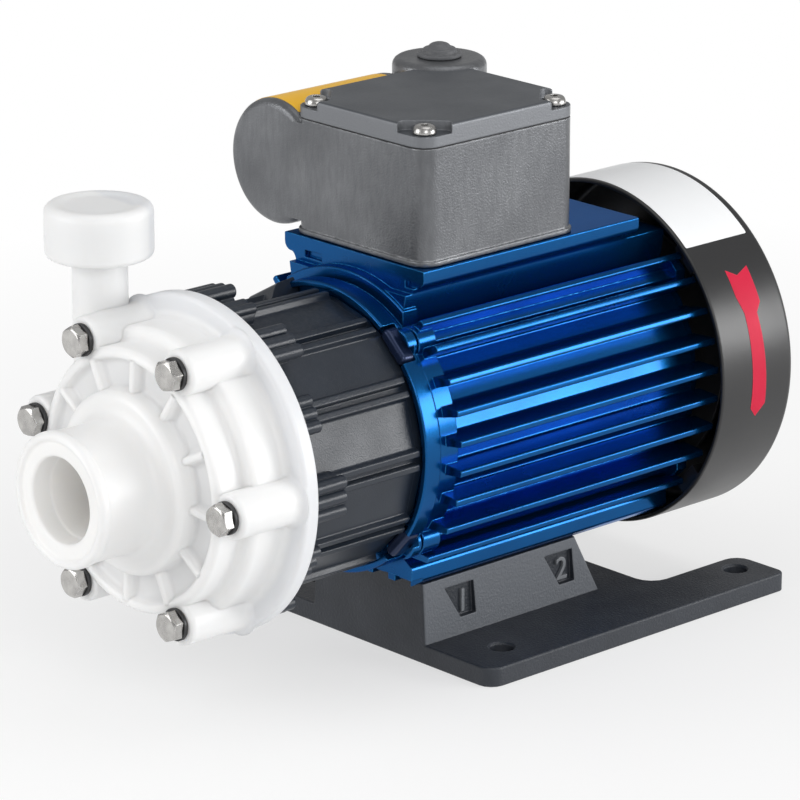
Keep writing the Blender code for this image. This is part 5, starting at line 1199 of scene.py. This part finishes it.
box_body = pushed(rounded_plan(34.7, 112.0, 188.0, 7.0), 151.1, BOX_TOP, "Z")
flange = pushed(rounded_plan(35.4, 111.3, 188.7, 7.4), 151.1, 152.9, "Z", rim=0.5, rims="high")
DRUM_R = 23.3
DRUM_AT = (-46.5, 174.4)
TOWER_AT = (-38.5, 188.0)
drum_section = [(0, 112.1), (DRUM_R, 112.1, 3.0), (DRUM_R, 174.0, 3.0), (0, 174.0)]
drum = turned(drum_section, sides=144, at=DRUM_AT)
web_outline = [(-45.0, 155.6), (-28.0, 155.6), (-28.0, 192.0), (-45.0, 192.0)]
web = pushed(web_outline, 112.1, 126.0, "Y")
tower_section = [(0, 172.0), (17.6, 172.0, 3.0), (17.6, 203.0, 3.0), (0, 203.0)]
tower = turned(tower_section, "Z", 96, TOWER_AT)
box_body = weld(box_body, flange, drum, web)
box_body = cut(box_body, pushed(rounded_plan(34.9, 111.8, 188.2, 7.2), BOX_TOP, 199.0, "Z"))
box_body = weld(box_body, tower)

# %% Box hollow
box_body = cut(box_body, pushed(rounded_plan(31.9, 114.8, 185.2, 4.2), 153.9, 194.0, "Z"),
               bar(20.5, 115.4, 171.4, "Y", DRUM_AT, sides=72),
               bar(6.2, 178.0, 203.8, "Z", TOWER_AT, sides=40))
LID_SPOTS = ((28.5, 118.2), (-28.5, 118.2), (28.5, 181.8))
for spot in LID_SPOTS:
    box_body = weld(box_body, bar(4.2, 153.0, 192.8, "Z", spot, sides=32))
    box_body = cut(box_body, bar(2.2, 181.0, 194.0, "Z", spot, sides=24))
box_body = cut(box_body, bar(6.0, 150.0, 155.0, "Z", (0, 150.0), sides=40))
placed("box_body", box_body, "cast_box", ["terminal_box"], FLOOR)

# %% Lid with screw pockets
lid = pushed(rounded_plan(34.7, 112.0, 188.0, 7.0), LID_LOW, 201.6, "Z", rim=1.1, rims="high")
BOX_MIDDLE = 150.0
for x, y in ((34.7, 112.0), (-34.7, 112.0), (34.7, 188.0)):
    inward = Vector((math.copysign(1, -x), math.copysign(1, BOX_MIDDLE - y))).normalized()
    aside = Vector((-inward.y, inward.x))
    corner = Vector((x, y))
    inner, outer = corner + inward * 13.9, corner - inward * 2.0
    spots = [inner + aside * 9.5, inner - aside * 9.5, outer - aside * 9.5, outer + aside * 9.5]
    sizes = (3.2, 3.2, 0.1, 0.1)
    outline = [(spot.x, spot.y, size) for spot, size in zip(spots, sizes)]
    lid = cut(lid, pushed(outline, 198.0, 203.0, "Z"))
lid = cut(lid, bar(17.9, 193.0, 203.0, "Z", TOWER_AT, sides=96))
for spot in LID_SPOTS:
    lid = cut(lid, bar(2.2, 193.0, 199.0, "Z", spot, sides=24))
placed("box_lid", lid, "cast_lid", ["box_cover"], FLOOR)

# %% Lid gasket
gasket = cut(pushed(rounded_plan(34.4, 112.3, 187.7, 6.7), BOX_TOP, LID_LOW, "Z"),
             pushed(rounded_plan(31.9, 114.8, 185.2, 4.2), BOX_TOP - 1, LID_LOW + 1, "Z"),
             bar(18.0, BOX_TOP - 1, LID_LOW + 1, "Z", TOWER_AT, sides=72))
placed("lid_gasket", gasket, "seal_rubber", ["cover_gasket"], FLOOR)

# %% Lid screws
for number, (x, y) in enumerate(LID_SPOTS, 1):
    section = [(0, 201.2), (3.4, 201.2, 0.9), (4.3, 199.4, 0.6), (4.3, 198.2, 0.2), (2.0, 198.2),
               (2.0, 186.2), (0, 186.2)]
    screw = turned(section, "Z", 48)
    screw = cut(screw, slid(hexagon(1.6, 3.2), 0, 0, 201.2))
    placed(f"lid_screw_{number}", slid(spun(screw, 17 * number, "Z"), x, y, 0), "bright_steel",
           [f"cover_screw_{number}"], FLOOR)

# %% Cable plug and yellow label
plug_section = [
    (0, 195.2), (5.9, 195.2, 0.4), (5.9, 203.2), (8.3, 203.2, 0.3), (8.3, 204.6, 0.6),
    (6.4, 204.7, 0.3), (6.2, 206.2, 0.6), (4.6, 206.4, 0.3), (3.4, 207.8, 0.6), (1.6, 208.4, 0.5),
    (0, 208.4),
]
placed("cable_plug", turned(plug_section, "Z", 72, TOWER_AT), "plug_rubber",
       ["cable_grommet"], FLOOR)
arc = math.pi * DRUM_R / 180
drum_outline = [(60 * arc, 115.3, 0.5), (132 * arc, 115.3, 0.5), (132 * arc, 168.0, 0.5),
                (60 * arc, 168.0, 0.5)]
drum_label = slid(wrapped(drum_outline, DRUM_R, PRINT_THICK), DRUM_AT[0], 0, DRUM_AT[1])
placed("drum_label", drum_label, "yellow_label", (), FLOOR)

# %% [markdown]
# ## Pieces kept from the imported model
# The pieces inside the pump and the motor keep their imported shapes. Each
# still gets the finish of its real material, so that any one of them could
# be pulled out and shown.

# %% Finishes of the kept nodes
ENDS = ("front", "rear")
KEPT = (
    ("seal_rubber", ["cap_seal", "casing_o_ring"]), ("can_moulding", ["rear_casing"]),
    ("white_ceramic", ["spindle", "thrust_ring"]), ("white_moulding", ["impeller"]),
    ("magnet_face", ["driven_magnet", "drive_magnet"]), ("carbon_bush", ["impeller_bush"]),
    ("blue_enamel", ["rear_shield"]), ("cage_brass", [f"{end}_bearing_balls" for end in ENDS]),
    ("bright_steel", ["drive_yoke", "motor_shaft"]),
    ("bright_steel", [f"foot_screw_{number}" for number in range(1, 5)]),
    ("bright_steel", [f"{end}_bearing_{race}_race" for end in ENDS for race in ("outer", "inner")]),
    ("cast_aluminium", ["rotor_core", "capacitor"]), ("core_sheets", ["stator_core"]),
    ("coil_copper", ["stator_winding"]), ("block_moulding", ["terminal_block"]),
)
dressed = set()
for look, names in KEPT:
    for name in names:
        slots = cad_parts[name].data.materials
        slots.clear()
        slots.append(looks[look])
        dressed.add(name)
left = [name for name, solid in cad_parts.items()
        if name not in dressed and not solid.hide_render]
print("kept nodes:", len(dressed), "without a finish:", left)

# %% [markdown]
# ## Floor and light
# The pump stands on a plain pale floor in soft studio light. Broad lamps to
# the right and above lay the long highlights on the fins and the hood. The
# background reads white because the floor shines white to the camera and in
# reflections, and not because more light falls on the pump.

# %% Floor
floor_mesh = bmesh.new()
bmesh.ops.create_grid(floor_mesh, x_segments=1, y_segments=1, size=6.0)
ground = bpy.data.meshes.new("floor")
floor_mesh.to_mesh(ground)
floor_mesh.free()
floor = linked("floor", ground)
floor.location = (0, 0, -0.0002)
floor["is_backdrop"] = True
pale = bpy.data.materials.new("pale_floor")
pale.use_nodes = True
tree = pale.node_tree
shader = tree.nodes["Principled BSDF"]
shader.inputs["Roughness"].default_value = 0.9
shader.inputs["Specular IOR Level"].default_value = 0.1
where = node(tree, "TexCoord").outputs["Object"]
tree.links.new(mixed(tree, noise(tree, where, 3.0), (0.90, 0.90, 0.90), (0.88, 0.88, 0.88)),
               shader.inputs["Base Color"])
x, y, _ = three(tree, where)
white = spread(tree, distance(tree, x, y), 0.12, 0.55, 0.58, 1.0)
ways = node(tree, "LightPath").outputs
seen = sums(tree, "MAXIMUM", ways["Is Camera Ray"], ways["Is Transmission Ray"])
seen = sums(tree, "MAXIMUM", seen, ways["Is Glossy Ray"])
blend = node(tree, "MixShader", {0: times(tree, seen, white), 1: shader.outputs[0],
                                 2: node(tree, "Emission").outputs[0]})
tree.links.new(blend.outputs[0], tree.nodes["Material Output"].inputs["Surface"])
ground.materials.append(pale)
print("floor lies", floor.location.z, "m under the foot")

# %% World
world = bpy.data.worlds.new("studio")
bpy.context.scene.world = world
world.use_nodes = True
background = world.node_tree.nodes["Background"]
background.inputs["Color"].default_value = (1.0, 1.0, 1.0, 1.0)
background.inputs["Strength"].default_value = 0.42
print("world strength", background.inputs["Strength"].default_value)

# %% Lamps
MIDDLE = (0.0, -0.07, 0.10)
SOFTBOXES = (
    ("rear_box", (1.15, 0.87, 0.36), 0.8, 0.5, 10.5),
    ("right_box", (1.30, -0.75, 0.75), 0.7, 0.7, 6.1),
    ("left_box", (-0.55, -1.25, 0.55), 0.8, 0.8, 7.2),
    ("top_box", (0.25, 0.05, 1.3), 1.0, 1.0, 4.2),
)
for name, place, wide, high, watts in SOFTBOXES:
    lamp = bpy.data.lights.new(name, "AREA")
    lamp.shape = "RECTANGLE"
    lamp.size = wide
    lamp.size_y = high
    lamp.energy = watts
    looking(name, lamp, place, MIDDLE)
view = bpy.context.scene.view_settings
view.view_transform = "Standard"
print("lamps and floor are set")

# %% [markdown]
# ## The last sizes
# The pieces may not outgrow the imported model, so both boxes are kept side by
# side.

# %% Sizes and finish
dressed_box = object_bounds()
sizes = {"cad_low": list(cad_box[0]), "cad_high": list(cad_box[1]),
         "visual_low": list(dressed_box[0]), "visual_high": list(dressed_box[1])}
print("pieces made:", len(pieces_made), "triangles:", sum(pieces_made.values()))
